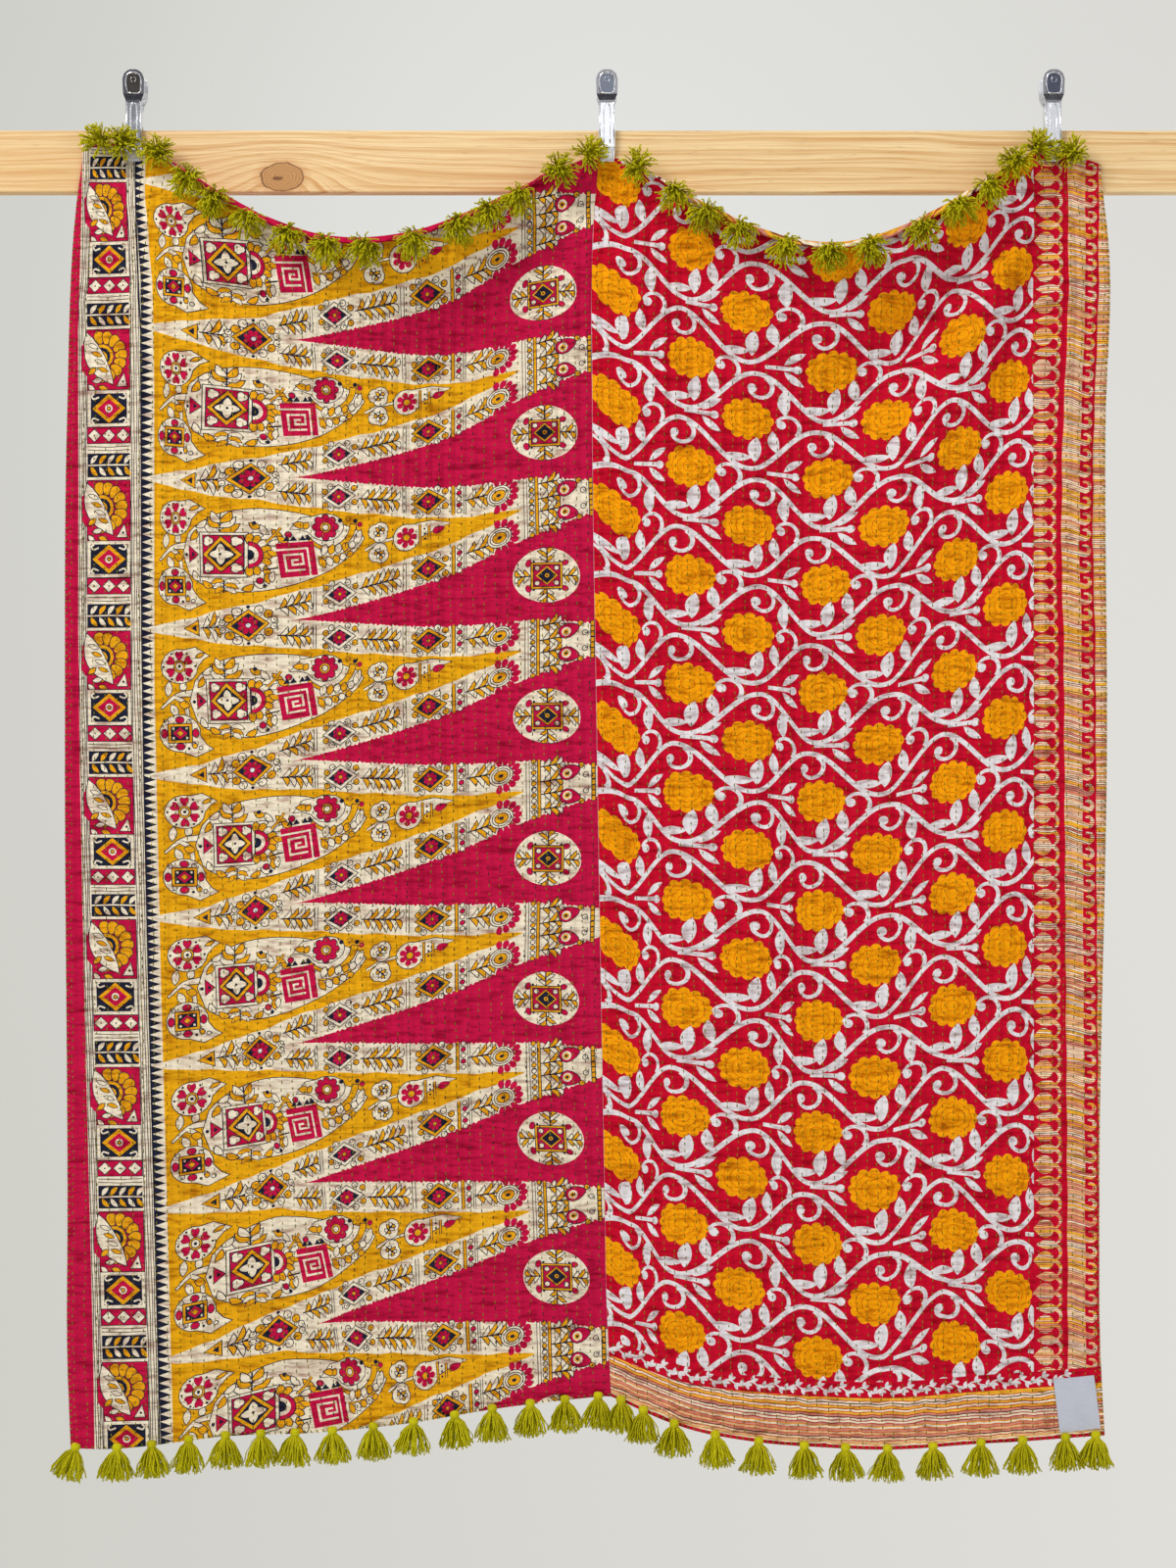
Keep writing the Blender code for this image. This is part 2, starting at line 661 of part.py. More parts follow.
def make_top_strips(material, carriers):
    """Tassels on narrow strips, each from head to head along the top hem's edge."""
    places = [place for strip in TOP_STRIPS for place in strip]
    room = dict(zip(places, spreads(places)))
    for number, strip in enumerate(TOP_STRIPS, 1):
        shape = bmesh.new()
        joins = [
            add_top_tassel(shape, place * MM, places.index(place), room[place]) for place in strip
        ]
        for (right, _), (_, left) in zip(joins, joins[1:]):
            bmesh.ops.bridge_loops(shape, edges=[*right.edges, *left.edges])
            bmesh.ops.delete(shape, geom=[right, left], context="FACES_ONLY")
        seat(new_object(f"tassels_top_{number:02d}", shape, material), carriers)


def make_label(material, carriers):
    """The blank satin label, lying on the right panel's face."""
    across, up = np.meshgrid(np.linspace(-0.5, 0.5, 4), np.linspace(0.5, -0.5, 5))
    dx = across * LABEL_SIZE[0]
    dz = up * LABEL_SIZE[1]
    x = LABEL_CENTRE[0] + dx * math.cos(LABEL_TURN) - dz * math.sin(LABEL_TURN)
    z = LABEL_CENTRE[1] + dx * math.sin(LABEL_TURN) + dz * math.cos(LABEL_TURN)
    y = depth(x, z) - CLOTH_THICK / 2 - 2 * PIECE_GAP
    back = np.stack([x, y, z], axis=-1)
    front = np.stack([x, y - LABEL_THICK, z], axis=-1)
    seat(new_object("label", grid_solid(front, back), material), carriers)


def main():
    """Clears the scene and builds every piece."""
    for thing in list(bpy.data.objects):
        bpy.data.objects.remove(thing, do_unlink=True)
    pine = principled("pine", (0.78, 0.52, 0.27), 0.6)
    chrome = principled("chrome", (0.75, 0.76, 0.78), 0.18, 1.0)
    ochre = principled("print_ochre", (0.80, 0.38, 0.01), 0.9)
    crimson = principled("print_crimson", (0.56, 0.01, 0.03), 0.9)
    yarn = principled("yarn", (0.38, 0.38, 0.01), 0.95)
    satin = principled("satin", (0.85, 0.85, 0.84), 0.5)
    make_rail(pine)
    seam, right_edge = upright_x(np.array([0.0, 1.0]), 0.5)
    gap = PIECE_GAP / 2 / (right_edge - seam)
    panels = [make_panel("panel_left", -1, -gap, ochre), make_panel("panel_right", gap, 1, crimson)]
    levers = [make_clip(clip, chrome) for clip in CLIPS]
    make_bottom_tassels(yarn, panels)
    make_top_strips(yarn, panels + levers)
    make_label(satin, panels)


main()
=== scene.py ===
"""Dresses the kantha throw, its rail and its clips round the CAD frame.

The print is laid out flat in millimetres as named stamps, carried onto the hung cloth's surface
and cut into one mesh a piece. Everything else is in metres, in the CAD's frame.
"""

import logging
import math
from dataclasses import dataclass, field
from enum import Enum
from typing import Any, Callable

import bpy
import numpy as np
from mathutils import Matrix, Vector
from mathutils.geometry import delaunay_2d_cdt


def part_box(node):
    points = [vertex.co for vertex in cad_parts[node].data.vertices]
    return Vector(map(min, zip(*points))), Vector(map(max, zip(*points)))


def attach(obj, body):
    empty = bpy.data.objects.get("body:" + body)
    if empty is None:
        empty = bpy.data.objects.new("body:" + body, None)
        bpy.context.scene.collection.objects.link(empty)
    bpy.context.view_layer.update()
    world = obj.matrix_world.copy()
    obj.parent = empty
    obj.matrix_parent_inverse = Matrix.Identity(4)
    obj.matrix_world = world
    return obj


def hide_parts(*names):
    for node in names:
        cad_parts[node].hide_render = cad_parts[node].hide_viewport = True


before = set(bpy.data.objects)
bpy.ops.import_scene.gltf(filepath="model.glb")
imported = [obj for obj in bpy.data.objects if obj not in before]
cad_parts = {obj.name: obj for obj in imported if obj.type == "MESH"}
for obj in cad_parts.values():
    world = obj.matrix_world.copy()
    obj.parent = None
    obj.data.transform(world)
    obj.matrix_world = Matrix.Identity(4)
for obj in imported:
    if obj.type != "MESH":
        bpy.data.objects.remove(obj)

logging.basicConfig(level=logging.INFO, format="%(message)s")
log = logging.getLogger("throw")

MM = 0.001
Array = np.ndarray
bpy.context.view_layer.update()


def smooth_step(value: Array | float) -> Array:
    """0 below 0, 1 above 1, and t * t * (3 - 2 * t) between."""
    t = np.clip(value, 0.0, 1.0)
    return t * t * (3 - 2 * t)


def spline(knots: Any, values: Any, at: Array | float) -> Array:
    """A smooth curve through the values at the knots.

    Args:
        knots: rising places of the values.
        values: the value at each knot.
        at: where the curve is wanted. It is flat beyond the ends.

    Returns:
        Cubic Hermite pieces whose slopes are centred differences.
    """
    knots = np.asarray(knots, float)
    values = np.asarray(values, float)
    slopes = np.gradient(values, knots)
    at = np.clip(at, knots[0], knots[-1])
    i = np.clip(np.searchsorted(knots, at) - 1, 0, len(knots) - 2)
    step = knots[i + 1] - knots[i]
    t = (at - knots[i]) / step
    rise = 3 * t**2 - 2 * t**3
    start_slope = (t**3 - 2 * t**2 + t) * step * slopes[i]
    end_slope = (t**3 - t**2) * step * slopes[i + 1]
    return (1 - rise) * values[i] + rise * values[i + 1] + start_slope + end_slope


def unit(vectors: Array) -> Array:
    """Vectors made 1 long."""
    return vectors / np.maximum(np.linalg.norm(vectors, axis=-1, keepdims=True), 1e-12)


def table(knots: Any, column: int) -> Array:
    """One column of a tuple of knots, as an array."""
    return np.array([knot[column] for knot in knots], float)


@dataclass(frozen=True)
class Swag:
    """A swag of the top hem: its ends, how far it dips, and how its low point leans."""

    x0: float
    z0: float
    x1: float
    z1: float
    dip: float
    skew: float

    def shape(self, x: Array) -> Array:
        """0 outside and 1 at the lowest point: a parabola mixed with a squared sine."""
        t = np.clip((x - self.x0) / (self.x1 - self.x0), 0, 1) ** self.skew
        return 0.65 * 4 * t * (1 - t) + 0.35 * np.sin(np.pi * t) ** 2


@dataclass(frozen=True)
class Fold:
    """A fold from a clip: angle from straight down, length, width and forward rise."""

    clip: int
    angle: float
    length: float
    width: float
    rise: float


@dataclass
class HungCloth:
    """The hung throw as one surface over x and h.

    h is the height on the hanging part. Over the line where the top hem starts to curl, h goes
    on by the length of cloth along the curl.
    """

    thick: float = 2.5 * MM
    curl_arc: float = 12 * MM
    curl_tail: float = 5 * MM
    curl_angle: float = math.radians(150)
    rail_face: float = -10 * MM
    rail_bottom: float = -36 * MM
    clip_x: tuple[float, ...] = (-528 * MM, 22 * MM, 541 * MM)
    swags: tuple[Swag, ...] = (
        Swag(-513 * MM, 18 * MM, 0 * MM, 5 * MM, 111 * MM, 0.93),
        Swag(36 * MM, 3 * MM, 531 * MM, 20 * MM, 115 * MM, 1.0),
    )
    top_left: tuple[float, float] = (-588 * MM, 21 * MM)
    top_right: tuple[float, float] = (596 * MM, -4 * MM)
    bottom_left: tuple[tuple[float, float], ...] = (
        (-600, -1495), (-562, -1497), (-420, -1484), (-222, -1469), (-70, -1446), (25, -1437),
    )
    bottom_right: tuple[tuple[float, float], ...] = (
        (25, -1437), (117, -1473), (194, -1488), (296, -1498), (480, -1490), (599, -1480),
    )
    # Drop from the top hem, then x of the left edge, the seam and the right edge.
    uprights: tuple[tuple[float, ...], ...] = (
        (0.00, -588, 11, 597), (0.05, -597, 6, 605), (0.20, -606, 5, 601), (0.45, -608, 10, 602),
        (0.82, -604, 19, 593), (0.93, -604, 22, 594), (1.00, -600, 27, 599),
    )
    folds: tuple[Fold, ...] = (
        Fold(0, 50, 0.30, 0.030, 0.013), Fold(0, 35, 0.42, 0.030, -0.010),
        Fold(0, 19, 0.55, 0.032, 0.009), Fold(0, 1, 0.60, 0.028, 0.006),
        Fold(1, -57, 0.28, 0.028, 0.009), Fold(1, -38, 0.36, 0.030, -0.008),
        Fold(1, -17, 0.45, 0.032, 0.007), Fold(1, 15, 0.50, 0.034, 0.008),
        Fold(1, 35, 0.36, 0.030, -0.009), Fold(1, 54, 0.28, 0.028, 0.010),
        Fold(2, -54, 0.36, 0.030, 0.016), Fold(2, -39, 0.48, 0.028, -0.013),
        Fold(2, -25, 0.62, 0.032, 0.015), Fold(2, -10, 0.85, 0.030, -0.009),
        Fold(2, 3, 0.70, 0.024, 0.007),
    )
    # Slow waves: length, phase, drift and rise.
    waves: tuple[tuple[float, ...], ...] = (
        (0.41, 0.6, 0.9, 0.0050), (0.235, 2.1, -1.3, 0.0030), (0.137, 0.2, 1.7, 0.0012),
    )
    # Creases of the quilting: spacing down the cloth, length across it, phase and rise.
    creases: tuple[tuple[float, ...], ...] = (
        (0.0113, 0.31, 0.4, 0.00016), (0.0171, -0.22, 1.9, 0.00022),
        (0.0263, 0.47, 3.1, 0.00030), (0.0390, -0.35, 5.0, 0.00036),
    )
    start_x: Array = field(init=False, repr=False)
    start_h: Array = field(init=False, repr=False)

    def __post_init__(self) -> None:
        """Works out once where the curl starts, every millimetre of x."""
        self.start_x = np.arange(-0.66, 0.66, 0.001)
        ups = [self.roll(self.start_x, np.full_like(self.start_x, q))[1] for q in np.linspace(0, 1, 41)]
        self.start_h = self.crest(self.start_x) - np.max(ups, axis=0)

    @property
    def curl_length(self) -> float:
        """The length of cloth in the curl."""
        return self.curl_arc + self.curl_tail

    def share(self, x: Array) -> Array:
        """How far into a swag x lies, 0 at the clips and 1 at its lowest point."""
        return np.max([swag.shape(x) for swag in self.swags], axis=0)

    def curl(self, x: Array) -> Array:
        """How far the curl is open, 0 to 1."""
        return smooth_step(2.2 * self.share(x))

    def crest(self, x: Array) -> Array:
        """Z of the top hem's crest: lines from clip to clip less the swags' dips."""
        knots = [self.top_left]
        for swag in self.swags:
            knots += [(swag.x0, swag.z0), (swag.x1, swag.z1)]
        knots.append(self.top_right)
        line = np.interp(x, table(knots, 0), table(knots, 1))
        return line - sum(swag.dip * swag.shape(x) for swag in self.swags)

    def start(self, x: Array) -> Array:
        """h where the curl starts."""
        return np.interp(x, self.start_x, self.start_h)

    def bottom(self, x: Array) -> Array:
        """h of the bottom hem."""
        x_mm = np.asarray(x) / MM
        left = spline(table(self.bottom_left, 0), table(self.bottom_left, 1), x_mm)
        right = spline(table(self.bottom_right, 0), table(self.bottom_right, 1), x_mm)
        return np.where(x_mm < self.bottom_left[-1][0], left, right) * MM

    def upright(self, column: Array | float, drop: Array | float) -> Array:
        """X of a column, -1 the left edge, 0 the seam, 1 the right edge, at a drop of 0 to 1."""
        column, drop = np.broadcast_arrays(np.asarray(column, float), np.asarray(drop, float))
        left, seam, right = (
            spline(table(self.uprights, 0), table(self.uprights, i) * MM, drop) for i in (1, 2, 3)
        )
        return np.where(column < 0, seam + (seam - left) * column, seam + (right - seam) * column)

    def place(self, column: Array | float, drop: Array | float) -> tuple[Array, Array]:
        """x and h of a column and a drop, where a drop of 0 to -1 goes up the curl."""
        column, drop = np.broadcast_arrays(np.asarray(column, float), np.asarray(drop, float))
        x = self.upright(column, np.clip(drop, 0, 1))
        start = self.start(x)
        hang = start + (self.bottom(x) - start) * np.clip(drop, 0, 1)
        return x, hang + np.clip(-drop, 0, 1) * self.curl_length

    def gripped(self, x: Array, z: Array) -> Array:
        """1 under a clip's jaw, falling to 0 a little way from it."""
        held = np.zeros_like(x)
        for clip in self.clip_x:
            beside = 1 - smooth_step((np.abs(x - clip) - 11 * MM) / (34 * MM))
            held = np.maximum(held, beside * (1 - smooth_step((-1 * MM - z) / (34 * MM))))
        return held

    def fold_rise(self, fold: Fold, x: Array, z: Array) -> Array:
        """One fold's forward rise: it grows, widens and dies out away from its clip."""
        angle = math.radians(fold.angle)
        dx = x - self.clip_x[fold.clip]
        along = dx * math.sin(angle) - z * math.cos(angle)
        across = dx * math.cos(angle) + z * math.sin(angle)
        share = along / fold.length
        width = fold.width * (0.7 + 0.6 * np.clip(share, 0, 1.4))
        rise = smooth_step(share / 0.22) * (1 - smooth_step(share - 0.35))
        return fold.rise * rise * np.exp(-((across / width) ** 2))

    def depth(self, x: Array, z: Array) -> Array:
        """Y of the middle surface: the rail's face, then the lean, the folds and the waves.

        The forward part is kept over a least one by 0.5 * (over + sqrt(over^2 + 1 mm^2)).
        """
        face = self.rail_face - 0.3 * MM - self.thick / 2
        clear = self.rail_face - 2.4 * MM - self.thick / 2
        rest = face + (clear - face) * smooth_step(z / self.rail_bottom)
        hanging = smooth_step((self.rail_bottom - z) / (150 * MM))
        below = np.maximum(self.crest(x) - z, 0)
        forward = 42 * MM * self.share(x) ** 1.4 * np.exp(-((below / (95 * MM)) ** 1.6))
        for fold in self.folds:
            forward = forward + self.fold_rise(fold, x, z)
        slow = 4 * MM
        for length, phase, drift, rise in self.waves:
            slow = slow + rise * np.sin(2 * np.pi * x / length + phase + drift * z)
        least = -12 * MM * hanging
        over = forward + hanging * slow - least
        forward = least + 0.5 * (over + np.sqrt(over**2 + MM**2))
        return rest - forward * (1 - self.gripped(x, z))

    def roll(self, x: Array, q: Array) -> tuple[Array, Array]:
        """Forward and up along the curl, an arc and a straight tail, for q from 0 to 1."""
        angle = np.maximum(self.curl_angle * self.curl(x), 1e-3)
        length = q * self.curl_length
        arc = np.minimum(length, self.curl_arc)
        tail = length - arc
        bend = angle / self.curl_arc
        forward = (1 - np.cos(bend * arc)) / bend + tail * np.sin(angle)
        up = np.sin(bend * arc) / bend + tail * np.cos(angle)
        return forward, up

    def middle(self, x: Array, h: Array) -> Array:
        """The cloth's middle surface: (x, depth - forward, height)."""
        start = self.start(x)
        forward, up = self.roll(x, np.clip((h - start) / self.curl_length, 0, 1))
        z = np.minimum(h, start) + up
        return np.stack([x, self.depth(x, z) - forward, z], axis=-1)

    def crease(self, x: Array, h: Array) -> Array:
        """Small creases of the quilting, as a sum of sines down the cloth that wander across."""
        wander = 0.6 * np.sin(x / 0.043 + 3 * np.sin(h / 0.19)) + 0.5 * np.sin(x / 0.0171 + h / 0.07)
        total = np.zeros_like(x)
        for spacing, length, phase, rise in self.creases:
            turn = 2 * np.pi * (h / spacing + x / length) + phase + (0.03 / spacing) * wander * 0.5
            total = total + rise * np.sin(turn)
        return total

    def slopes(self, x: Array, h: Array) -> tuple[Array, Array]:
        """The middle surface's slopes across and down, by centred differences."""
        step = 0.6 * MM
        across = (self.middle(x + step, h) - self.middle(x - step, h)) / (2 * step)
        down = (self.middle(x, h - step) - self.middle(x, h + step)) / (2 * step)
        return across, down

    def normal(self, x: Array, h: Array) -> Array:
        """The unit normal of the face side."""
        across, down = self.slopes(x, h)
        return unit(np.cross(down, across))

    def face(self, x: Array, h: Array, lift: float | Array = 0.0) -> tuple[Array, Array]:
        """The face with its creases.

        Args:
            x: places across.
            h: heights on the cloth.
            lift: how far off the face the points lie, along the normal.

        Returns:
            The points, and the normals of the slopes with the creases' own slopes added.
        """
        across, down = self.slopes(x, h)
        normal = unit(np.cross(down, across))
        height = self.thick / 2 + self.crease(x, h) + lift
        points = self.middle(x, h) + normal * np.broadcast_to(height, x.shape)[..., None]
        step = 0.8 * MM
        rise_x = (self.crease(x + step, h) - self.crease(x - step, h)) / (2 * step)
        rise_h = (self.crease(x, h - step) - self.crease(x, h + step)) / (2 * step)
        shading = np.cross(down + normal * rise_h[..., None], across + normal * rise_x[..., None])
        return points, unit(shading)


CLOTH = HungCloth()


class Ink(Enum):
    """The colours in the cloth, each with its sRGB value."""

    OCHRE = (240, 172, 14)
    CREAM = (247, 233, 206)
    MAGENTA = (202, 13, 69)
    NAVY = (30, 33, 54)
    YELLOW = (240, 168, 20)
    CRIMSON = (208, 2, 43)
    WHITE = (238, 232, 234)
    MARIGOLD = (255, 166, 0)
    DEEP_MARIGOLD = (228, 114, 0)
    STRAW = (236, 200, 128)

    @property
    def linear(self) -> tuple[float, float, float]:
        """The colour as linear light."""
        return linear(self.value)


def linear(srgb: tuple[int, int, int]) -> tuple[float, float, float]:
    """An sRGB colour of 0 to 255 as linear light."""
    parts = []
    for part in srgb:
        share = part / 255
        parts.append(share / 12.92 if share <= 0.04045 else ((share + 0.055) / 1.055) ** 2.4)
    return parts[0], parts[1], parts[2]


def disc(radius: float, corners: int = 10, squash: float = 1.0) -> Array:
    """A circle, or an ellipse whose height is squash times its width."""
    turn = np.linspace(0, 2 * np.pi, corners, endpoint=False)
    return np.stack([radius * np.cos(turn), radius * squash * np.sin(turn)], axis=1)


def box(width: float, height: float) -> Array:
    """A rectangle about the origin."""
    x, y = width / 2, height / 2
    return np.array([(-x, -y), (x, -y), (x, y), (-x, y)])


def diamond(across: float, up: float) -> Array:
    """A diamond about the origin, by its half width and half height."""
    return np.array([(-across, 0), (0, -up), (across, 0), (0, up)], float)


def leaf(length: float, width: float, bend: float = 0.0, steps: int = 5) -> Array:
    """A pointed leaf from the origin along x: half width times sin(pi t)^0.8, on a bent midrib."""
    t = np.linspace(0, 1, steps + 1)
    rib = np.stack([length * t, bend * np.sin(np.pi * t)], axis=1)
    half = 0.5 * width * np.sin(np.pi * t) ** 0.8
    upper = rib + np.stack([np.zeros_like(t), half], axis=1)
    lower = rib - np.stack([np.zeros_like(t), half], axis=1)
    return np.concatenate([upper, lower[-2:0:-1]])


def blossom(lobes: int, radius: float, notch: float, steps: int = 4, squash: float = 1.0) -> Array:
    """A round outline of lobes: radius * (1 - notch * (1 - |cos(lobes * turn / 2)|^0.7))."""
    turn = np.linspace(0, 2 * np.pi, lobes * steps, endpoint=False)
    r = radius * (1 - notch * (1 - np.abs(np.cos(lobes * turn / 2)) ** 0.7))
    return np.stack([r * np.cos(turn), squash * r * np.sin(turn)], axis=1)


def lobed(core: float, lobes: Any, steps: int) -> Array:
    """The outline round a disc and some smaller discs on its edge.

    Args:
        core: the middle disc's radius.
        lobes: each outer disc's centre across and down, and its radius.
        steps: how many points.

    Returns:
        The outline: on each ray, the farthest place where it leaves a disc.
    """
    turn = np.linspace(0, 2 * np.pi, steps, endpoint=False)
    ray = np.stack([np.cos(turn), np.sin(turn)], axis=1)
    centre, radius = np.asarray(lobes, float)[:, :2], np.asarray(lobes, float)[:, 2]
    along = ray @ centre.T
    off = ray[:, :1] * centre[:, 1] - ray[:, 1:] * centre[:, 0]
    reach = np.where(np.abs(off) < radius, along + np.sqrt(np.maximum(radius**2 - off**2, 0)), core)
    return np.maximum(reach.max(axis=1), core)[:, None] * ray


def arc_of(x: float, y: float, radius: float, first: float, last: float, steps: int = 12) -> Array:
    """Points on a circle between two angles in degrees."""
    turn = np.radians(np.linspace(first, last, steps))
    return np.stack([x + radius * np.cos(turn), y + radius * np.sin(turn)], axis=1)


def boteh(left: float, right: float, half: float, rise: float, steps: int = 26) -> Array:
    """A large paisley's outline: full and round at its left, drawn out to a raised point at its right.

    Args:
        left: x of its round end.
        right: x of its point.
        half: about half of its greatest height.
        rise: how much higher the point lies than the round end.
        steps: how many points each side has.

    Returns:
        The outline: half width half * sin(pi t^0.75)^0.6 * (1 - 0.15 t) on a rising middle line.
    """
    t = np.linspace(0, 1, steps)
    x = left + (right - left) * t
    middle = -rise * t**1.5
    reach = half * np.sin(np.pi * t**0.75).clip(0) ** 0.6 * (1 - 0.15 * t)
    upper = np.stack([x, middle - reach], axis=1)
    lower = np.stack([x, middle + reach], axis=1)
    return np.concatenate([upper, lower[-2:0:-1]])


def drop(length: float, width: float) -> Array:
    """A drop from its round end at the origin to its point at x = length."""
    turn = np.linspace(0, 2 * np.pi, 12, endpoint=False)
    taper = 1 - 0.5 * (1 + np.cos(turn)) ** 1.2 / 2**1.2
    x = length * 0.5 * (1 + np.cos(turn))
    return np.stack([x, 0.62 * width * np.sin(turn) * taper], axis=1)


def through(points: Any, steps: int = 4, closed: bool = False) -> Array:
    """A smooth path through points, by Catmull-Rom pieces.

    Args:
        points: places that the path passes.
        steps: how many pieces between two places.
        closed: whether the path comes back to its start.

    Returns:
        The path's points.
    """
    p = np.asarray(points, float)
    if closed:
        p = np.concatenate([p[-1:], p, p[:2]])
    else:
        p = np.concatenate([2 * p[:1] - p[1:2], p, 2 * p[-1:] - p[-2:-1]])
    t = np.linspace(0, 1, steps, endpoint=False)[None, :, None]
    a, b, c, d = p[:-3, None], p[1:-2, None], p[2:-1, None], p[3:, None]
    path = 0.5 * (
        2 * b + (c - a) * t + (2 * a - 5 * b + 4 * c - d) * t**2 + (3 * b - a - 3 * c + d) * t**3
    )
    path = path.reshape(-1, 2)
    return path if closed else np.concatenate([path, p[-2:-1]])


def ribbon(path: Any, width: float, end: float | None = None) -> Array:
    """A band along a path, its width going from width to end."""
    path = np.asarray(path, float)
    along = np.gradient(path, axis=0)
    along /= np.maximum(np.linalg.norm(along, axis=1, keepdims=True), 1e-9)
    side = np.stack([-along[:, 1], along[:, 0]], axis=1)
    half = 0.5 * np.linspace(width, width if end is None else end, len(path))[:, None]
    return np.concatenate([path + side * half, (path - side * half)[::-1]])


def area_of(outline: Array) -> float:
    """The signed area of an outline, over 0 where it runs anticlockwise."""
    x, y = outline[:, 0], outline[:, 1]
    return 0.5 * float(np.sum(x * np.roll(y, -1) - np.roll(x, -1) * y))


def grown(outline: Array, rim: float) -> Array:
    """An outline moved outwards by rim, along the mean of the two edges' normals at each corner."""
    outline = outline if area_of(outline) > 0 else outline[::-1]
    ahead = np.roll(outline, -1, axis=0) - outline
    ahead /= np.maximum(np.linalg.norm(ahead, axis=1, keepdims=True), 1e-9)
    out = np.stack([ahead[:, 1], -ahead[:, 0]], axis=1)
    mean = out + np.roll(out, 1, axis=0)
    size = np.linalg.norm(mean, axis=1, keepdims=True)
    mean = mean / np.maximum(size, 1e-9)
    return outline + mean * rim * np.minimum(2 / np.maximum(size, 1e-9), 1.8)


RIM = 1.0


@dataclass
class Motif:
    """Flat outlines in the order in which they are printed, each with its ink, y downwards."""

    shapes: list[tuple[Array, Ink]] = field(default_factory=list)

    def fill(self, outline: Any, ink: Ink, rim: float = 0.0) -> "Motif":
        """Adds an outline, with a navy rim round it where one is asked for."""
        outline = np.asarray(outline, float)
        if rim:
            self.shapes.append((grown(outline, rim), Ink.NAVY))
        self.shapes.append((outline, ink))
        return self

    def line(self, path: Any, width: float = RIM, ink: Ink = Ink.NAVY) -> "Motif":
        """Adds a printed line along a path."""
        return self.fill(ribbon(path, width), ink)

    def steps(self, corners: list[tuple[float, float]], width: float, ink: Ink) -> "Motif":
        """Adds a line of level and upright bars with square corners."""
        for (x0, y0), (x1, y1) in zip(corners[:-1], corners[1:]):
            bar = box(abs(x1 - x0) + width, abs(y1 - y0) + width)
            self.fill(bar + ((x0 + x1) / 2, (y0 + y1) / 2), ink)
        return self

    def leant(self, slope: float) -> "Motif":
        """This motif with its right side lowered by a slope."""
        self.shapes = [(outline + outline[:, :1] * (0, slope), ink) for outline, ink in self.shapes]
        return self

    def lowered(self, across: Any, fall: Any) -> "Motif":
        """This motif lowered by a fall that depends on the place across."""
        self.shapes = [
            (outline + np.interp(outline[:, 0], across, fall)[:, None] * (0, 1), ink)
            for outline, ink in self.shapes
        ]
        return self

    def put(
        self, other: "Motif", x: float, y: float, turn: float = 0.0, size: float = 1.0, flip: float = 1.0
    ) -> "Motif":
        """Adds another motif.

        Args:
            other: what is added.
            x: where its origin comes, across.
            y: where its origin comes, downwards.
            turn: how far it is turned, in degrees, from across towards down.
            size: how much bigger it gets.
            flip: -1 to mirror it top to bottom first.

        Returns:
            This motif.
        """
        c, s = math.cos(math.radians(turn)) * size, math.sin(math.radians(turn)) * size
        for outline, ink in other.shapes:
            px, py = outline[:, 0], outline[:, 1] * flip
            self.shapes.append((np.stack([x + c * px - s * py, y + s * px + c * py], axis=1), ink))
        return self


def spot(radius: float, ink: Ink, rim: float = 0.0, corners: int = 8) -> Motif:
    """A round spot."""
    return Motif().fill(disc(radius, corners), ink, rim)


def flower(petals: int, radius: float, ink: Ink, eye: float, heart: Ink, joined: bool = False) -> Motif:
    """Petals round an eye.

    Args:
        petals: how many.
        radius: out to the petals' tips.
        ink: the petals' colour.
        eye: the eye's radius.
        heart: the eye's colour.
        joined: whether the petals are one outlined shape.

    Returns:
        The flower about its centre.
    """
    made = Motif()
    if joined:
        made.fill(blossom(petals, radius, 0.26), ink, RIM)
    else:
        round_end = 2.05 * radius / petals
        petal = Motif().fill(leaf(radius * 0.86, radius * 3.4 / petals, steps=4), ink)
        petal.put(spot(round_end, ink), radius - round_end, 0)
        for i in range(petals):
            made.put(petal, 0, 0, 360 * i / petals)
    return made.fill(disc(eye), heart, RIM * 0.8)


def spray(length: float, pairs: int, leaf_length: float, width: float, lean: float = 62.0) -> Motif:
    """A navy stem along x with pairs of outlined leaves, cream and yellow by turns."""
    made = Motif()
    for i in range(pairs):
        x = length * (i + 0.25) / pairs
        taper = 1 - 0.30 * abs(2 * i / max(pairs - 1, 1) - 1)
        for side in (1, -1):
            ink = Ink.YELLOW if (i + (side > 0)) % 2 else Ink.CREAM
            one = Motif().fill(leaf(leaf_length * taper, width, 0.14 * leaf_length), ink, RIM)
            made.put(one, x, 0.5 * side, lean * side, flip=-side)
    return made.line([(-2, 0), (length, 0)], 1.5)


def curl_mark(size: float, ink: Ink) -> Motif:
    """A small outlined curl: a round head whose line hooks inwards and runs on as a tail."""
    made = Motif().fill(disc(size, 9), ink, RIM)
    hook = [(size * 0.9, size * 0.2), (size * 0.2, size * 0.35), (size * 0.1, -size * 0.3)]
    made.line(through(hook, 3), RIM * 0.8)
    return made.line(through([(size, 0), (size * 1.5, size), (size * 0.9, size * 1.9)], 3), RIM * 0.8)


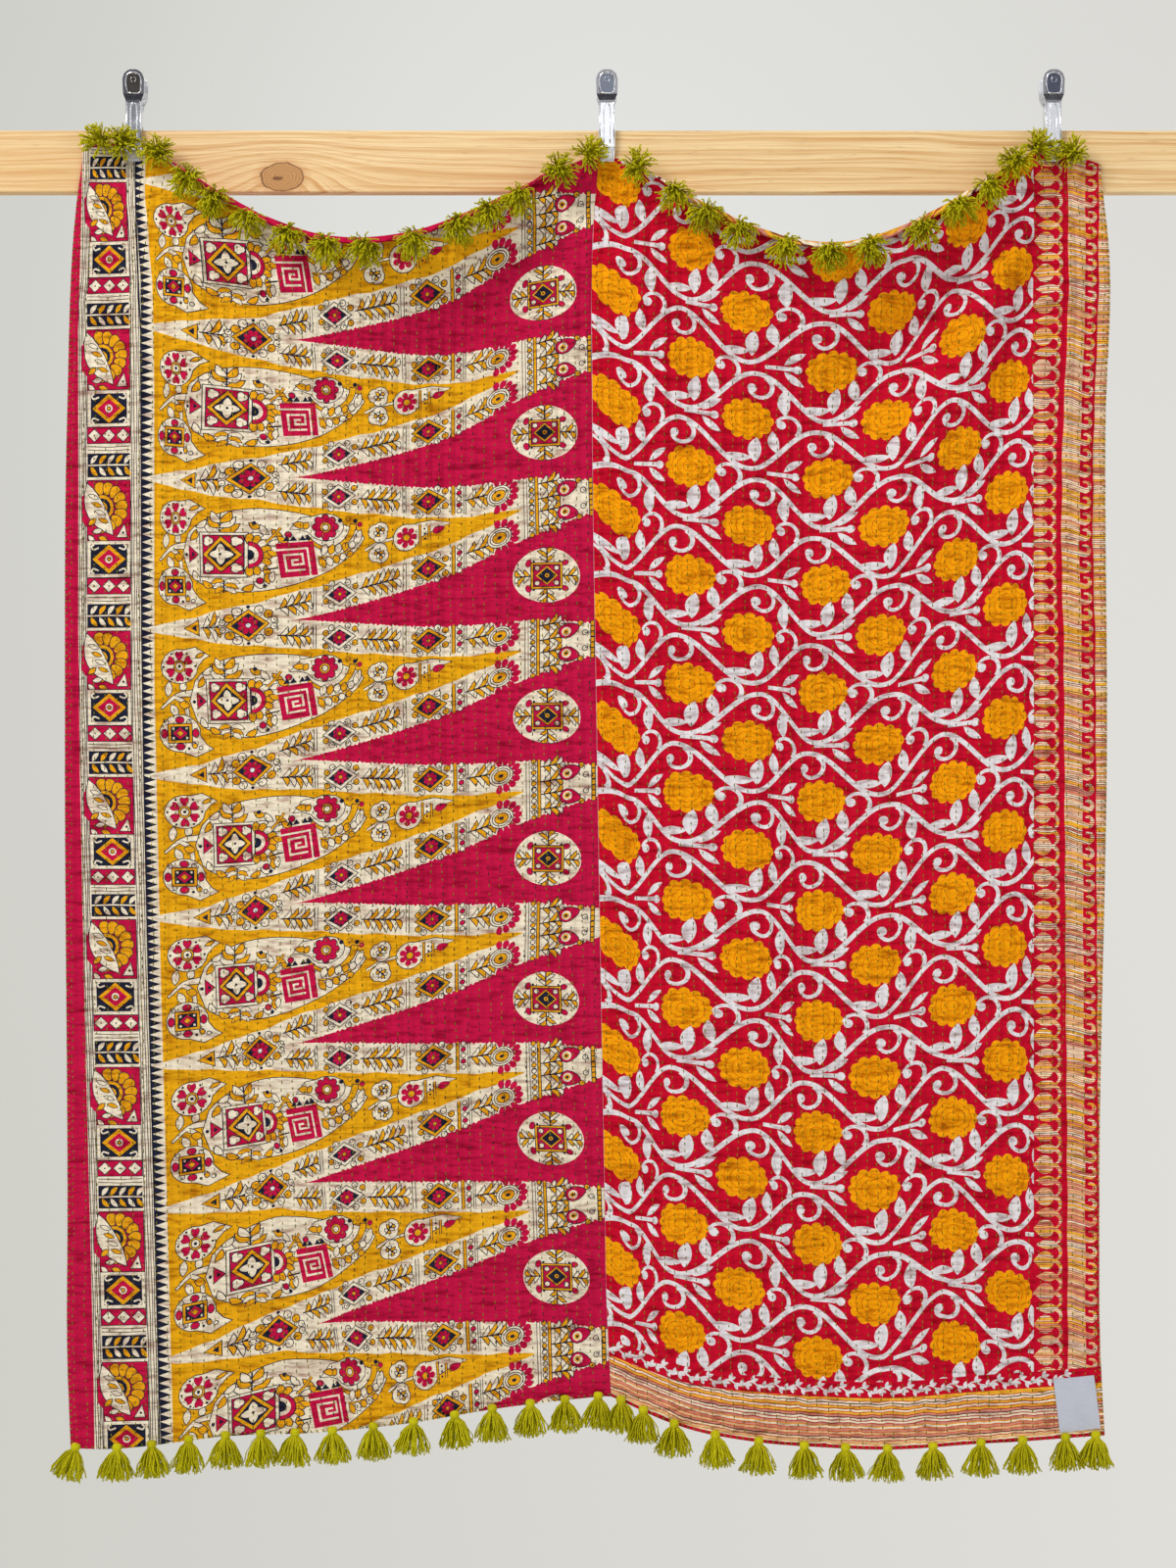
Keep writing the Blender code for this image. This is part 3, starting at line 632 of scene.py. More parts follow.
def framed_diamond(
    across: float, up: float, frame_ink: Ink, radius: float, heart: Ink, curl: float
) -> Motif:
    """A framed navy diamond with a flower in it and eight curls round it.

    Args:
        across: half its width.
        up: half its height.
        frame_ink: the frame's colour.
        radius: the flower's radius.
        heart: the colour of the flower's eye.
        curl: the curls' size.

    Returns:
        The diamond about its centre.
    """
    made = Motif()
    places = ((-0.84, -0.50), (-0.50, -0.92), (0.52, -0.96), (0.98, -0.62),
              (0.98, 0.56), (0.52, 0.94), (-0.50, 0.96), (-0.84, 0.62))
    for i, (x, y) in enumerate(places):
        ink = Ink.CREAM if i in (1, 2, 5, 6) else Ink.YELLOW
        turn = math.degrees(math.atan2(y, x)) + 100
        made.put(curl_mark(curl, ink), x * across, y * up, turn)
    made.fill(diamond(across, up), frame_ink, RIM)
    made.fill(diamond(across - 4.6, up - 3.7), Ink.NAVY)
    return made.put(flower(8, radius, Ink.MAGENTA, radius * 0.24, heart), 0, 0, 22.5)


def paisley(radius: float, stretch: float, tail: tuple[float, float], bend: float) -> Motif:
    """A cream paisley.

    Args:
        radius: half the round part's height.
        stretch: how much wider than high the round part is.
        tail: where its point lies.
        bend: how far the tail bends off the straight line.

    Returns:
        The paisley about its round part's middle.
    """
    tip = np.array(tail)
    along = math.atan2(tip[1], tip[0])
    side = math.copysign(1.0, bend)
    turns = along + side * np.linspace(math.radians(58), math.radians(342), 14)
    round_part = np.stack([stretch * radius * np.cos(turns), radius * np.sin(turns)], axis=1)
    normal = np.array([-tip[1], tip[0]]) / np.linalg.norm(tip)
    back = round_part[-1] * 0.45 + tip * 0.55 + normal * bend * 0.2
    front = round_part[0] * 0.45 + tip * 0.55 + normal * bend * 0.8
    return Motif().fill(np.concatenate([round_part, [back, tip, front]]), Ink.CREAM, RIM)


@dataclass
class BlockPrint:
    """The left panel's print: a stamped border, and ochre wedges between cream ones.

    Its flat place is u across from the tooth border's edge, v down from a wedge's middle line,
    and the wedge's row number.
    """

    period: float = 171.0
    edge_x: float = -501.6
    rows: tuple[int, ...] = tuple(range(-2, 9))
    # Height of each row's tip at the border.
    tips: tuple[float, ...] = (
        -24, -195, -370.5, -542.5, -710, -880, -1046.5, -1212, -1392, -1563, -1734,
    )
    # How far the middle line has risen at each u, in the first row and in the last.
    rise_u: tuple[float, ...] = (0, 194, 331, 462, 504, 560)
    first_rise: tuple[float, ...] = (0, -16, -5, 42, 51, 60)
    last_rise: tuple[float, ...] = (0, 34, 57, 79, 82, 90)
    # How far the print drifts across by height: pinched at the clip, and to the right below.
    drift_h: tuple[float, ...] = (-1500, -1294, -950, -610, -270, -165, -136, -107, -78, -48, -5)
    drift_x: tuple[float, ...] = (21, 16, 7, 0, 0, -1.1, -1.8, -4.7, -7.1, -11, -11.4)
    # How much narrower the border gets at the clip, by height.
    pinch_h: tuple[float, ...] = (-165, -107, -50, 0)
    pinch: tuple[float, ...] = (0.99, 0.90, 0.83, 0.81)
    # How far the last row rises over the others, by u.
    last_lift_u: tuple[float, ...] = (0, 50, 110, 212, 318, 450)
    last_lift: tuple[float, ...] = (0, 0, 14, 14, 13.5, 17)
    # How far each row's middle line dips near the border, by u, for rows 0 to 7.
    dip_u: tuple[float, ...] = (0, 50, 110, 165)
    dips: tuple[tuple[float, ...], ...] = (
        (0, 0, 1, 0), (0, 2, 0, 0), (3, 4, 3, 0), (5.6, 8.5, 7.5, 0),
        (1, 6, 3.4, 0), (6, 5.5, 3, 0), (8, 8, -1, 0), (3, 1, 0, 0),
    )
    # How far the field's motifs lie to the right of their even places: by height for each u.
    shift_h: tuple[float, ...] = (
        -1443, -1360, -1281, -1196, -1122, -1044, -958, -793, -620, -454, -368, -282, -197,
    )
    shift_u: tuple[float, ...] = (0, 50, 85, 110, 161, 200, 318, 452)
    shifts: tuple[tuple[float, ...], ...] = (
        (0, 0, 0, 0, 0, 0, 0, 0, 0, 0, 0, 0, 0),
        (-1, -1, 0, 1, 1, 0.5, -1, 1, -3, -12, -12.5, -10, -9),
        (7, 11, 10, 11, 10, 4, 0, 2, -4, -12, -7, -2, 0),
        (14, 18, 12, 14, 6, 3, 0.5, 1.5, 0, -3, 2, 2, 5),
        (25, 16, 9, 4, 0, -1, -2, 4.6, 4.6, 4.6, 4, 8, 4),
        (17, 5, 3, -2, -4, -6, -3, 3, 3, 5, 2, 5, 0),
        (0, -3, -4, -4, -6.5, -6.5, -5, -3, -3, -3, -3, -3, -3),
        (-3, -3, -3, -4, -6, -7, -7, 0, 2, 2, -0.5, -1, -2),
    )
    # The cream wedge's half width at u = 0 and its growth, and the magenta spear's in it.
    cream_least: float = 3.4
    cream_slope: float = 0.192
    cream_length: float = 427.0
    spear_start: float = 160.0
    spear_length: float = 400.0
    spear_most: float = 78.0
    spear_bow: float = 1.15
    border_u: float = -2.0

    def centre(self, u: Array, row: Array) -> Array:
        """Height of a row's middle line at u."""
        index = np.clip(row + 1, 0, len(self.tips) - 1).astype(int)
        blend = np.sqrt(np.clip(row, 0, 7) / 7)
        top = spline(self.rise_u, self.first_rise, u)
        low = spline(self.rise_u, self.last_rise, u)
        lift = np.interp(u, self.last_lift_u, self.last_lift) * np.clip(row - 6, 0, 1)
        dips = [np.interp(u, self.dip_u, one) for one in self.dips]
        dip = np.choose(np.clip(row, 0, len(self.dips) - 1).astype(int), dips)
        return np.array(self.tips)[index] + top * (1 - blend) + low * blend + lift - dip

    def shift(self, u: Array, h: Array) -> Array:
        """How far a motif of the field lies to the right of its even place."""
        columns = [np.interp(h, self.shift_h, one) for one in self.shifts]
        at = np.interp(u, self.shift_u, np.arange(len(columns)))
        low = np.clip(np.floor(at), 0, len(columns) - 2).astype(int)
        return (low + 1 - at) * np.choose(low, columns) + (at - low) * np.choose(low + 1, columns)

    def to_cloth(self, points: Array, row: int) -> Array:
        """x and h on the cloth, in millimetres, of points (u, v) of a row.

        v is a share of the way from this row's middle line to the next one's.
        """
        u, v = points[:, 0], points[:, 1]
        place = row + v / self.period
        low = np.clip(np.floor(place), -1, len(self.tips) - 3)
        part = place - low
        h = (1 - part) * self.centre(u, low) + part * self.centre(u, low + 1)
        drift = np.interp(h, self.drift_h, self.drift_x)
        drift = np.where(drift < 0, drift * np.exp(-np.maximum(u, 0) / 200), drift)
        narrow = np.where(u < 0, np.interp(h, self.pinch_h, self.pinch), 1.0)
        return np.stack([self.edge_x + u * narrow + drift + self.shift(u, h), h], axis=1)

    def fuzzy(self, path: Array, size: float) -> Array:
        """A path with small uneven teeth, as where printed colour creeps along the yarns."""
        n = np.arange(len(path))
        jitter = size * (np.where(n % 2, 1.0, -1.0) + 0.8 * np.sin(n * 2.4) + 0.6 * np.sin(n * 5.1 + 1))
        jitter = jitter * 0.5 * np.clip(np.abs(path[:, 1]) / 8, 0, 1)
        return path + np.stack([np.zeros(len(path)), jitter], axis=1)

    def ground(self) -> Motif:
        """A row's cream wedge with its magenta spear."""
        made = Motif()
        u = np.concatenate([np.arange(-3, 427, 8.0), [427.0, 500.0, 580.0]])
        half = self.cream_least + self.cream_slope * np.clip(u, 0, self.cream_length)
        half = half + 0.9 * np.sin(u / 11.0) + 0.6 * np.sin(u / 5.3 + 1)
        upper = np.stack([u, -half], axis=1)
        lower = np.stack([u, half], axis=1)
        made.fill(np.concatenate([lower, upper[::-1]]), Ink.CREAM)
        u = np.arange(161, 575, 2.6)
        share = np.clip((u - self.spear_start) / self.spear_length, 0, 1)
        half = self.spear_most * share**self.spear_bow + 0.4
        upper = self.fuzzy(np.stack([u, -half], axis=1), 1.5)
        lower = self.fuzzy(np.stack([u, half], axis=1), 1.5)
        tip = np.array([(151.0, 0.0)])
        return made.fill(np.concatenate([tip, lower, upper[::-1]]), Ink.MAGENTA)

    def arm(self) -> Motif:
        """The motifs along one arm of a cream wedge, v from the row's middle line."""
        made = Motif()
        made.put(spray(34, 5, 16, 4.4, 56), 141, 16, 9)
        for u in (179.0, 182.2):
            made.line([(u, 6 + (u - 165) * 0.12), (u, 36)], 0.9)
        made.put(framed_diamond(19.4, 14.2, Ink.CREAM, 8.2, Ink.YELLOW, 3.0), 210, 26.5)
        made.put(spray(45, 7, 18, 4.8, 56), 236, 31, 9)
        made.line([(287.6, 21), (287.6, 55)], 0.9).line([(291.4, 21), (291.4, 55)], 0.9)
        made.put(framed_diamond(19.8, 15.2, Ink.YELLOW, 8.0, Ink.YELLOW, 3.2), 318.5, 44.5)
        made.line([(347, 31), (347, 66)], 4.6).line([(347, 31), (347, 67)], 2.8, Ink.YELLOW)
        for i in range(5):
            made.put(spot(2.5, Ink.MAGENTA if i % 2 else Ink.CREAM, RIM), 353.8, 34.5 + 7.2 * i)
        made.line([(359, 33), (359, 69)], 0.8).line([(361.6, 33), (361.6, 70)], 0.8)
        made.put(spray(26, 4, 18, 5.0, 52), 362, 53, 4)
        eye = Motif()
        for i in range(9):
            turn = -96 + 24 * i
            ray = math.radians(turn)
            ray_x, ray_y = 23.5 * math.cos(ray), 21.5 * math.sin(ray)
            eye.put(Motif().fill(drop(-11, 7.6), Ink.MAGENTA), ray_x, ray_y, turn)
            eye.put(spot(3.5, Ink.MAGENTA), ray_x * 0.86, ray_y * 0.86)
        eye.fill(disc(13.2, 16, 0.86), Ink.CREAM, RIM).fill(disc(10.2, 14, 0.84), Ink.CREAM, RIM)
        eye.fill(disc(7.4, 12, 0.8), Ink.YELLOW, RIM).fill(disc(2.9, 8, 0.7), Ink.NAVY)
        made.put(eye, 399, 60)
        for u in (427.5, 431.0):
            made.line([(u, 48), (u, 85.5)], RIM * 0.8)
        for v in np.arange(52, 86, 6.6):
            made.put(spot(2.3, Ink.YELLOW if int(v / 6.6) % 2 else Ink.CREAM, RIM), 436.0, float(v))
        made.line([(442, 51), (442, 85.5)], 4.4).line([(442, 51), (442, 85.5)], 2.6, Ink.YELLOW)
        made.put(spray(21, 3, 14, 4.4, 50), 446, 60).put(spray(21, 3, 14, 4.4, 50), 446, 78)
        made.put(Motif().fill(drop(24, 17), Ink.MAGENTA, RIM), 466, 73.5, -14)
        made.fill(disc(5.6, 10) + (474.4, 72.2), Ink.CREAM).fill(disc(3.6, 9) + (474.0, 72.4), Ink.YELLOW)
        made.fill(disc(1.7) + (474.0, 72.4), Ink.NAVY)
        made.put(curl_mark(2.8, Ink.CREAM), 469, 61.5).put(curl_mark(2.8, Ink.YELLOW), 491, 64)
        made.put(curl_mark(2.6, Ink.CREAM), 496, 76)
        for i in range(4):
            made.put(Motif().fill(box(3.4, 5), Ink.YELLOW, RIM), 505.0, 66 + 6.4 * i)
        return made

    def wedge(self) -> Motif:
        """A row's cream wedge up to the arms."""
        made = Motif().fill([(38, 0), (56, -8.4), (56, 8.4)], Ink.YELLOW, RIM)
        made.fill([(47, 0), (53.6, -4), (53.6, 4)], Ink.NAVY)
        made.put(spray(20, 3, 18.5, 4.8, 66), 60, 0)
        for v in (-4.4, 4.4):
            made.put(curl_mark(3.0, Ink.CREAM), 84, v, 90 if v > 0 else -90)
        made.put(framed_diamond(21.5, 18.0, Ink.YELLOW, 10.6, Ink.WHITE, 4.4), 109.0, 0)
        for v in (-21.4, 21.4):
            made.put(spot(2.0, Ink.NAVY), 109.0, v)
        for v in (-4.0, 4.0):
            made.put(curl_mark(3.2, Ink.CREAM), 136, v)
        return made

    def medallion(self) -> Motif:
        """The oval medallion in a spear, near the seam."""
        made = Motif().fill(disc(38.5, 30, 0.85), Ink.CREAM)
        for turn in (0, 90, 180, 270):
            x, y = 18.5 * math.cos(math.radians(turn)), 15.5 * math.sin(math.radians(turn))
            made.put(spray(15, 3, 12.5, 4.0, 52), x, y, turn)
        for turn in (40, 140, 220, 320):
            x, y = 27 * math.cos(math.radians(turn)), 24 * math.sin(math.radians(turn))
            made.put(Motif().fill(disc(4.4, 9, 0.7), Ink.MAGENTA, RIM * 0.6), x, y, turn * 0.5)
            made.put(spot(1.5, Ink.NAVY), x * 0.72, y * 1.12)
        made.fill(box(35, 31), Ink.YELLOW, RIM).fill(box(29.5, 25.5), Ink.MAGENTA, RIM)
        for x in (-11, 11):
            for y in (-9, 9):
                made.put(spot(2.6, Ink.CREAM, RIM), x, y)
        made.fill(diamond(12.6, 11.4), Ink.YELLOW, RIM * 0.6).fill(diamond(10.6, 9.4), Ink.NAVY)
        return made.fill(disc(2.6, 8), Ink.YELLOW).fill(disc(1.2, 6), Ink.NAVY).leant(0.18)

    def ochre_wedge(self) -> Motif:
        """The motifs in the ochre between two rows, v from the wedge's own middle line."""
        made = Motif()
        bough = ribbon(through([(44, -10), (24, -7), (6, 7)], 4), 7.0, 1.6)
        made.fill(bough, Ink.CREAM, RIM)
        fall = through([(24, -5), (33, 0), (37, 11), (36.5, 22)], 3)
        made.line(fall, 6.0, Ink.NAVY).line(fall, 4.2, Ink.CREAM)
        for x, y, turn, length, ink in (
            (14, -7, -82, 17, Ink.CREAM), (18, 3, 62, 15, Ink.CREAM), (28, 2, 14, 12, Ink.YELLOW),
            (30, -14, -50, 10, Ink.CREAM),
        ):
            made.put(Motif().fill(leaf(length, 8.5), ink, RIM), x, y, turn)
        round_one = paisley(19.6, 1.17, (37, -11), -9)
        corners = [(7, 0), (10, -3), (14, -4.9), (17.4, -3.5), (16, 0), (17.4, 3.5), (14, 4.9), (10, 3)]
        heart = through(corners, 2, True)
        for i in range(6):
            round_one.put(Motif().fill(heart, Ink.MAGENTA, RIM * 0.5), 0, 0, 60 * i + 30)
        round_one.fill(disc(7.0, 12), Ink.YELLOW, RIM)
        round_one.put(spot(4.6, Ink.CREAM, RIM), 0, 0).put(spot(2.0, Ink.NAVY), 0, 0)
        for i in range(6):
            turn = math.radians(60 * i)
            round_one.put(spot(1.5, Ink.NAVY), 20.0 * math.cos(turn), 17.0 * math.sin(turn))
        round_one.put(Motif().fill(leaf(11, 4), Ink.YELLOW, RIM), 21, -10, -22)
        made.put(round_one, 29.5, -41.5)
        square_one = paisley(21.5, 1.12, (38, 20), 10)
        for turn in (0, 90, 180, 270):
            x, y = 18.8 * math.cos(math.radians(turn)), 15.6 * math.sin(math.radians(turn))
            square_one.put(Motif().fill(disc(4.9, 9, 0.72), Ink.MAGENTA, RIM), x, y, turn + 90)
            square_one.put(curl_mark(2.2, Ink.CREAM), x * 0.85 - y * 0.7, y * 0.85 + x * 0.7, turn)
        square_one.fill(box(28, 21.5), Ink.YELLOW, RIM).fill(box(22.5, 16.6), Ink.NAVY)
        for x in (-8, 8):
            for y in (-5.6, 5.6):
                square_one.put(spot(1.5, Ink.CREAM), x, y)
        square_one.fill(diamond(8.8, 7.0), Ink.MAGENTA).fill(diamond(3.8, 3.2), Ink.YELLOW, RIM * 0.7)
        square_one.put(spot(2.6, Ink.YELLOW, RIM), 17, 15).put(spot(1.9, Ink.CREAM, RIM), 24, 17.5)
        square_one.put(spot(1.8, Ink.NAVY), 10, 18)
        made.put(square_one, 27.5, 36.5)
        fall = self.large_paisley().lowered((41, 85, 120, 161, 193, 250), (-1, 0, 3.5, 9, 13, 14))
        made.put(fall, 0, 0)
        stem = through([(241, 9), (256, 2), (280, -2.5)], 4)
        made.line(stem, 4.2, Ink.NAVY).line(stem, 2.4, Ink.CREAM)
        for y, turn in ((-11.5, -50), (14.5, 45)):
            heart = Motif().fill(blossom(3, 12.5, 0.22, 6), Ink.CREAM, RIM)
            heart.put(spray(13, 3, 6, 3.0), -6, 0)
            made.put(heart, 258, y, turn)
        made.put(paisley(16, 1.0, (52, -9), -6), 292, -1.0)
        made.put(flower(7, 13.0, Ink.MAGENTA, 3.8, Ink.YELLOW), 292, -1.0)
        made.line([(308.5, -15), (308.5, 12)], 3.6).line([(308.5, -15), (308.5, 12)], 2.0, Ink.YELLOW)
        made.line([(319.5, -11.5), (319.5, 6)], 3.4).line([(319.5, -11.5), (319.5, 6)], 1.8, Ink.YELLOW)
        for v in (-8.5, -2.5, 3.5):
            made.put(spot(1.4, Ink.NAVY), 314, v)
        made.put(Motif().fill(drop(13, 8), Ink.MAGENTA, RIM * 0.6), 324, -3.5, -14)
        return made

    def large_paisley(self) -> Motif:
        """The large paisley with its framed square, half sunflower, spiral and inner paisley."""
        made = Motif().fill(boteh(41, 240, 51, 20), Ink.CREAM, RIM)
        made.fill(ribbon(arc_of(197, -40, 30, 5, 150), 7.0, 2.4), Ink.OCHRE, RIM)
        made.put(paisley(16, 1.35, (-40, 4), 8), 193, -36)
        made.put(flower(8, 15.5, Ink.MAGENTA, 6.0, Ink.YELLOW, True), 193, -36)
        made.put(spot(3.4, Ink.CREAM, RIM), 193, -36)
        made.put(Motif().fill(leaf(15, 7), Ink.YELLOW, RIM), 156, -38, 6)
        made.put(Motif().fill(leaf(9, 6), Ink.YELLOW, RIM), 168, -33, -60)
        for x, y, radius, ink in (
            (211, -43.5, 2.2, Ink.NAVY), (221, -45, 2.6, Ink.YELLOW), (229.5, -41.5, 2.2, Ink.NAVY),
            (235, -37, 2.8, Ink.MAGENTA),
        ):
            made.put(spot(radius, ink, RIM * 0.6), x, y)
        made.put(Motif().fill(leaf(19, 8), Ink.CREAM, RIM), 236, -30, 112)
        made.line([(84, -46), (84, -24)], 1.6).line([(88, 31), (87, 46)], 1.6)
        for i in range(3):
            for side in (1, -1):
                ink = Ink.YELLOW if (i + (side > 0)) % 2 else Ink.CREAM
                one = Motif().fill(leaf(20 - 2 * i, 7.4, 2 * side), ink, RIM)
                made.put(one, 84, -25 - 5.5 * i, -90 + side * (62 - 12 * i))
                made.put(one, 88, 32 + 4.5 * i, 90 + side * (80 - 8 * i), 0.72)
        for x, y, turn, ink in (
            (52, -16, -62, Ink.YELLOW), (58, -31, -35, Ink.CREAM), (110, -36, 20, Ink.YELLOW),
            (122, -34, 50, Ink.CREAM), (54, 20, 60, Ink.CREAM), (64, 32, 30, Ink.YELLOW),
            (116, 33, 15, Ink.CREAM), (104, 42, -30, Ink.YELLOW), (134, -30, 35, Ink.YELLOW),
            (112, -24, 8, Ink.CREAM),
        ):
            made.put(Motif().fill(leaf(13, 6.5, 1.5), ink, RIM), x, y, turn)
        made.fill([(50, 9), (50, -9), (60, 1)], Ink.MAGENTA, RIM)
        made.fill([(53, 3.5), (53, -3), (57, 0.5)], Ink.NAVY)
        made.put(spot(2.2, Ink.NAVY), 46, 1)
        made.fill(box(47, 51) + (85.5, 1), Ink.CREAM, RIM).fill(box(40, 44) + (85.5, 1), Ink.MAGENTA, RIM)
        for x in (-14, 14):
            for y in (-15.5, 15.5):
                made.put(Motif().fill(blossom(3, 5.6, 0.3, 4), Ink.CREAM, RIM), 85.5 + x, 1 + y)
        made.fill(diamond(19.4, 20.4) + (85.5, 1), Ink.YELLOW, RIM)
        made.fill(diamond(15, 15.8) + (85.5, 1), Ink.NAVY)
        for turn in (0, 90, 180, 270):
            place = math.radians(turn)
            made.put(Motif().fill(drop(12.0, 8.6), Ink.CREAM), 85.5, 1, turn)
            made.put(spot(3.0, Ink.CREAM), 85.5 + 8 * math.cos(place), 1 + 8 * math.sin(place))
        made.put(spot(1.6, Ink.NAVY), 85.5, 1)
        for i in range(9):
            turn = -88 + 22 * i
            place = math.radians(turn)
            petal = Motif().fill(disc(3.9, 7, 1.0) * (1.5, 1.0), Ink.YELLOW if i % 4 != 2 else Ink.CREAM, RIM)
            made.put(petal, 110.5 + 19 * math.cos(place), 1 + 19 * math.sin(place), turn)
        for radius, ink in ((15.0, Ink.MAGENTA), (10.6, Ink.CREAM), (6.4, Ink.NAVY)):
            half = disc(radius, 20)
            made.fill(half[half[:, 0] > -0.01] + (110.5, 1), ink, RIM if ink is Ink.MAGENTA else 0)
        made.line(through([(128, -14), (137, -24), (143, -33)], 3), 3.4, Ink.NAVY)
        made.line(through([(128, -14), (137, -24), (143, -33)], 3), 2.0, Ink.YELLOW)
        for x, y, turn, ink in (
            (131, -12, -30, Ink.CREAM), (140, -22, 30, Ink.YELLOW), (127, 14, 60, Ink.YELLOW),
            (130, 22, 84, Ink.YELLOW), (136, 20, 96, Ink.CREAM), (130, -4, 14, Ink.YELLOW),
        ):
            made.put(Motif().fill(leaf(12, 6, 1), ink, RIM), x, y, turn)
        made.line([(127, 18), (141, 15)], 1.8)
        made.put(spot(3.2, Ink.MAGENTA, RIM), 151, -25).put(spot(2.6, Ink.NAVY), 115, -36)
        made.put(spot(3.4, Ink.MAGENTA, RIM), 122, 31).put(spot(2.4, Ink.NAVY), 127, 37)
        for i, x in enumerate((149, 156, 166, 172)):
            made.fill(np.array([(-4, 3), (4, 2), (0, -4)]) + (x, -19.5 - 0.12 * (x - 149)), Ink.NAVY)
        spiral = Motif().fill(box(41, 41), Ink.MAGENTA)
        spiral.steps([(-22, -12.6), (12.2, -12.6), (12.2, 22)], 2.2, Ink.CREAM)
        turns = [
            (5.6, 12.6), (-13.4, 12.6), (-13.4, -6), (5.6, -6),
            (5.6, 6), (-6.2, 6), (-6.2, 0.4), (-1, 0.4),
        ]
        spiral.steps(turns, 2.4, Ink.CREAM)
        made.put(spiral, 161, 4, -8)
        rib = through([(183, 0), (206, -1), (228, -10)], 3)
        made.line(rib, 3.0, Ink.NAVY).line(rib, 1.6, Ink.YELLOW)
        for i in range(5):
            x = 189 + 8.6 * i
            y = -1.2 - 0.02 * (x - 189) ** 1.55 * 1.2
            ink = Ink.YELLOW if i % 2 else Ink.CREAM
            made.put(Motif().fill(leaf(13 - i, 7.4), ink, RIM), x, y - 1.5, -72)
            ink = Ink.CREAM if i % 2 else Ink.YELLOW
            made.put(Motif().fill(leaf(13 - 1.6 * i, 7.4), ink, RIM), x - 3, y + 2, 62)
        return made

    def border_repeat(self) -> Motif:
        """One repeat of the stamped border, u below 0, v down from the row's middle line."""
        made = Motif()
        left, right, width = -81.4, -30.1, 51.3
        middle = (left + right) / 2
        made.fill(box(width, 68) + (middle, 36), Ink.MAGENTA, 0.9)
        made.fill(disc(26, 22) [disc(26, 22)[:, 0] > -24] + (-66, 34), Ink.MAGENTA)
        for i in range(9):
            turn = -100 + 24 * i
            ray = math.radians(turn)
            made.put(Motif().fill(drop(-15, 11.5), Ink.YELLOW, RIM),
                     -63 + 30 * math.cos(ray), 32 + 29 * math.sin(ray), turn)
        made.fill(disc(14, 14) + (-64, 32), Ink.YELLOW, RIM).fill(disc(10.4, 12) + (-64, 32), Ink.NAVY)
        made.fill(disc(7.6, 10) + (-65, 33), Ink.YELLOW).fill(disc(3, 8) + (-65, 33), Ink.NAVY)
        made.put(Motif().fill(leaf(66, 22, 5.0, 8), Ink.CREAM, RIM), -82, 5, 62)
        for i in range(4):
            ink = Ink.YELLOW if i % 2 else Ink.CREAM
            made.put(Motif().fill(leaf(12, 4.4), ink, RIM * 0.8), -80 + 4 * i, 18 + 9 * i, 20)
        for i, (x, y) in enumerate(((-80, 52), (-75, 60), (-68, 66), (-80, 64))):
            made.put(Motif().fill(leaf(11, 5.4), Ink.CREAM if i % 2 else Ink.YELLOW, RIM), x, y, -40 + 30 * i)
        made.fill([(-46, 66), (-34, 66), (-37, 52)], Ink.CREAM, RIM).put(spot(1.5, Ink.NAVY), -38.5, 61)
        made.fill(box(width, 41) + (middle, 91), Ink.CREAM, 0.9).fill(box(44, 34) + (middle, 91), Ink.NAVY)
        for x in (-17.5, 17.5):
            for y in (-12.5, 12.5):
                turn = math.degrees(math.atan2(y, x))
                path = through([(-4, 3.5), (0, -2), (4, 0), (2.5, 3)], 3)
                hook = Motif().fill(ribbon(path, 1.9), Ink.CREAM)
                made.put(hook, middle + x, 91 + y, turn, flip=math.copysign(1, x * y))
        made.fill(diamond(20, 16.5) + (middle, 91), Ink.YELLOW, RIM)
        made.fill(diamond(14, 11.3) + (middle, 91), Ink.MAGENTA)
        made.put(spot(4.6, Ink.CREAM, 0, 10), middle, 91).put(spot(1.7, Ink.YELLOW, RIM), middle, 91)
        made.fill(box(width, 17.5) + (middle, 121.5), Ink.MAGENTA, 0.9)
        for x in (-17.5, 0, 17.5):
            made.fill(diamond(7.2, 6.8) + (middle + x, 121.5), Ink.CREAM, RIM)
            made.put(spot(1.0, Ink.NAVY), middle + x, 121.5)
        for y in (134, 138):
            made.line([(left, y), (middle, y + 0.8), (right, y)], 0.9)
        made.fill(box(width, 27) + (middle, 155.5), Ink.NAVY)
        made.line([(left, 155.5), (middle, 154.9), (right, 155.5)], 1.6, Ink.CREAM)
        for i in range(5):
            for side in (1, -1):
                ink = Ink.YELLOW if (i + (side > 0)) % 2 else Ink.CREAM
                one = Motif().fill(leaf(13, 5.2, 1.0 * side), ink)
                made.put(one, left + 4 + 10.2 * i, 155.5 + 1.4 * side, 52 * side)
        return made

    def border_lines(self) -> Motif:
        """The cream strips, fine lines and teeth that run the whole way down, one row of them."""
        made = Motif().fill(box(93.5, 176) + (-45.2, 86), Ink.CREAM)
        v = np.arange(-2, 174, 6.0)
        for i, u in enumerate((-90.6, -88.0, -85.6, -83.4, -28.2, -25.2, -22.1, -19.4)):
            wave = u + 0.4 * np.sin(v / 13 + 2.1 * i)
            made.line(np.stack([wave, v], axis=1), 0.95)
        made.fill(box(1.6, 176) + (-16.8, 86), Ink.NAVY)
        teeth = 19
        for i in range(teeth):
            step = self.period / teeth
            y = step * i
            made.fill([(-16.4, y), (-2.6, y + step / 2), (-16.4, y + step)], Ink.NAVY)
        return made

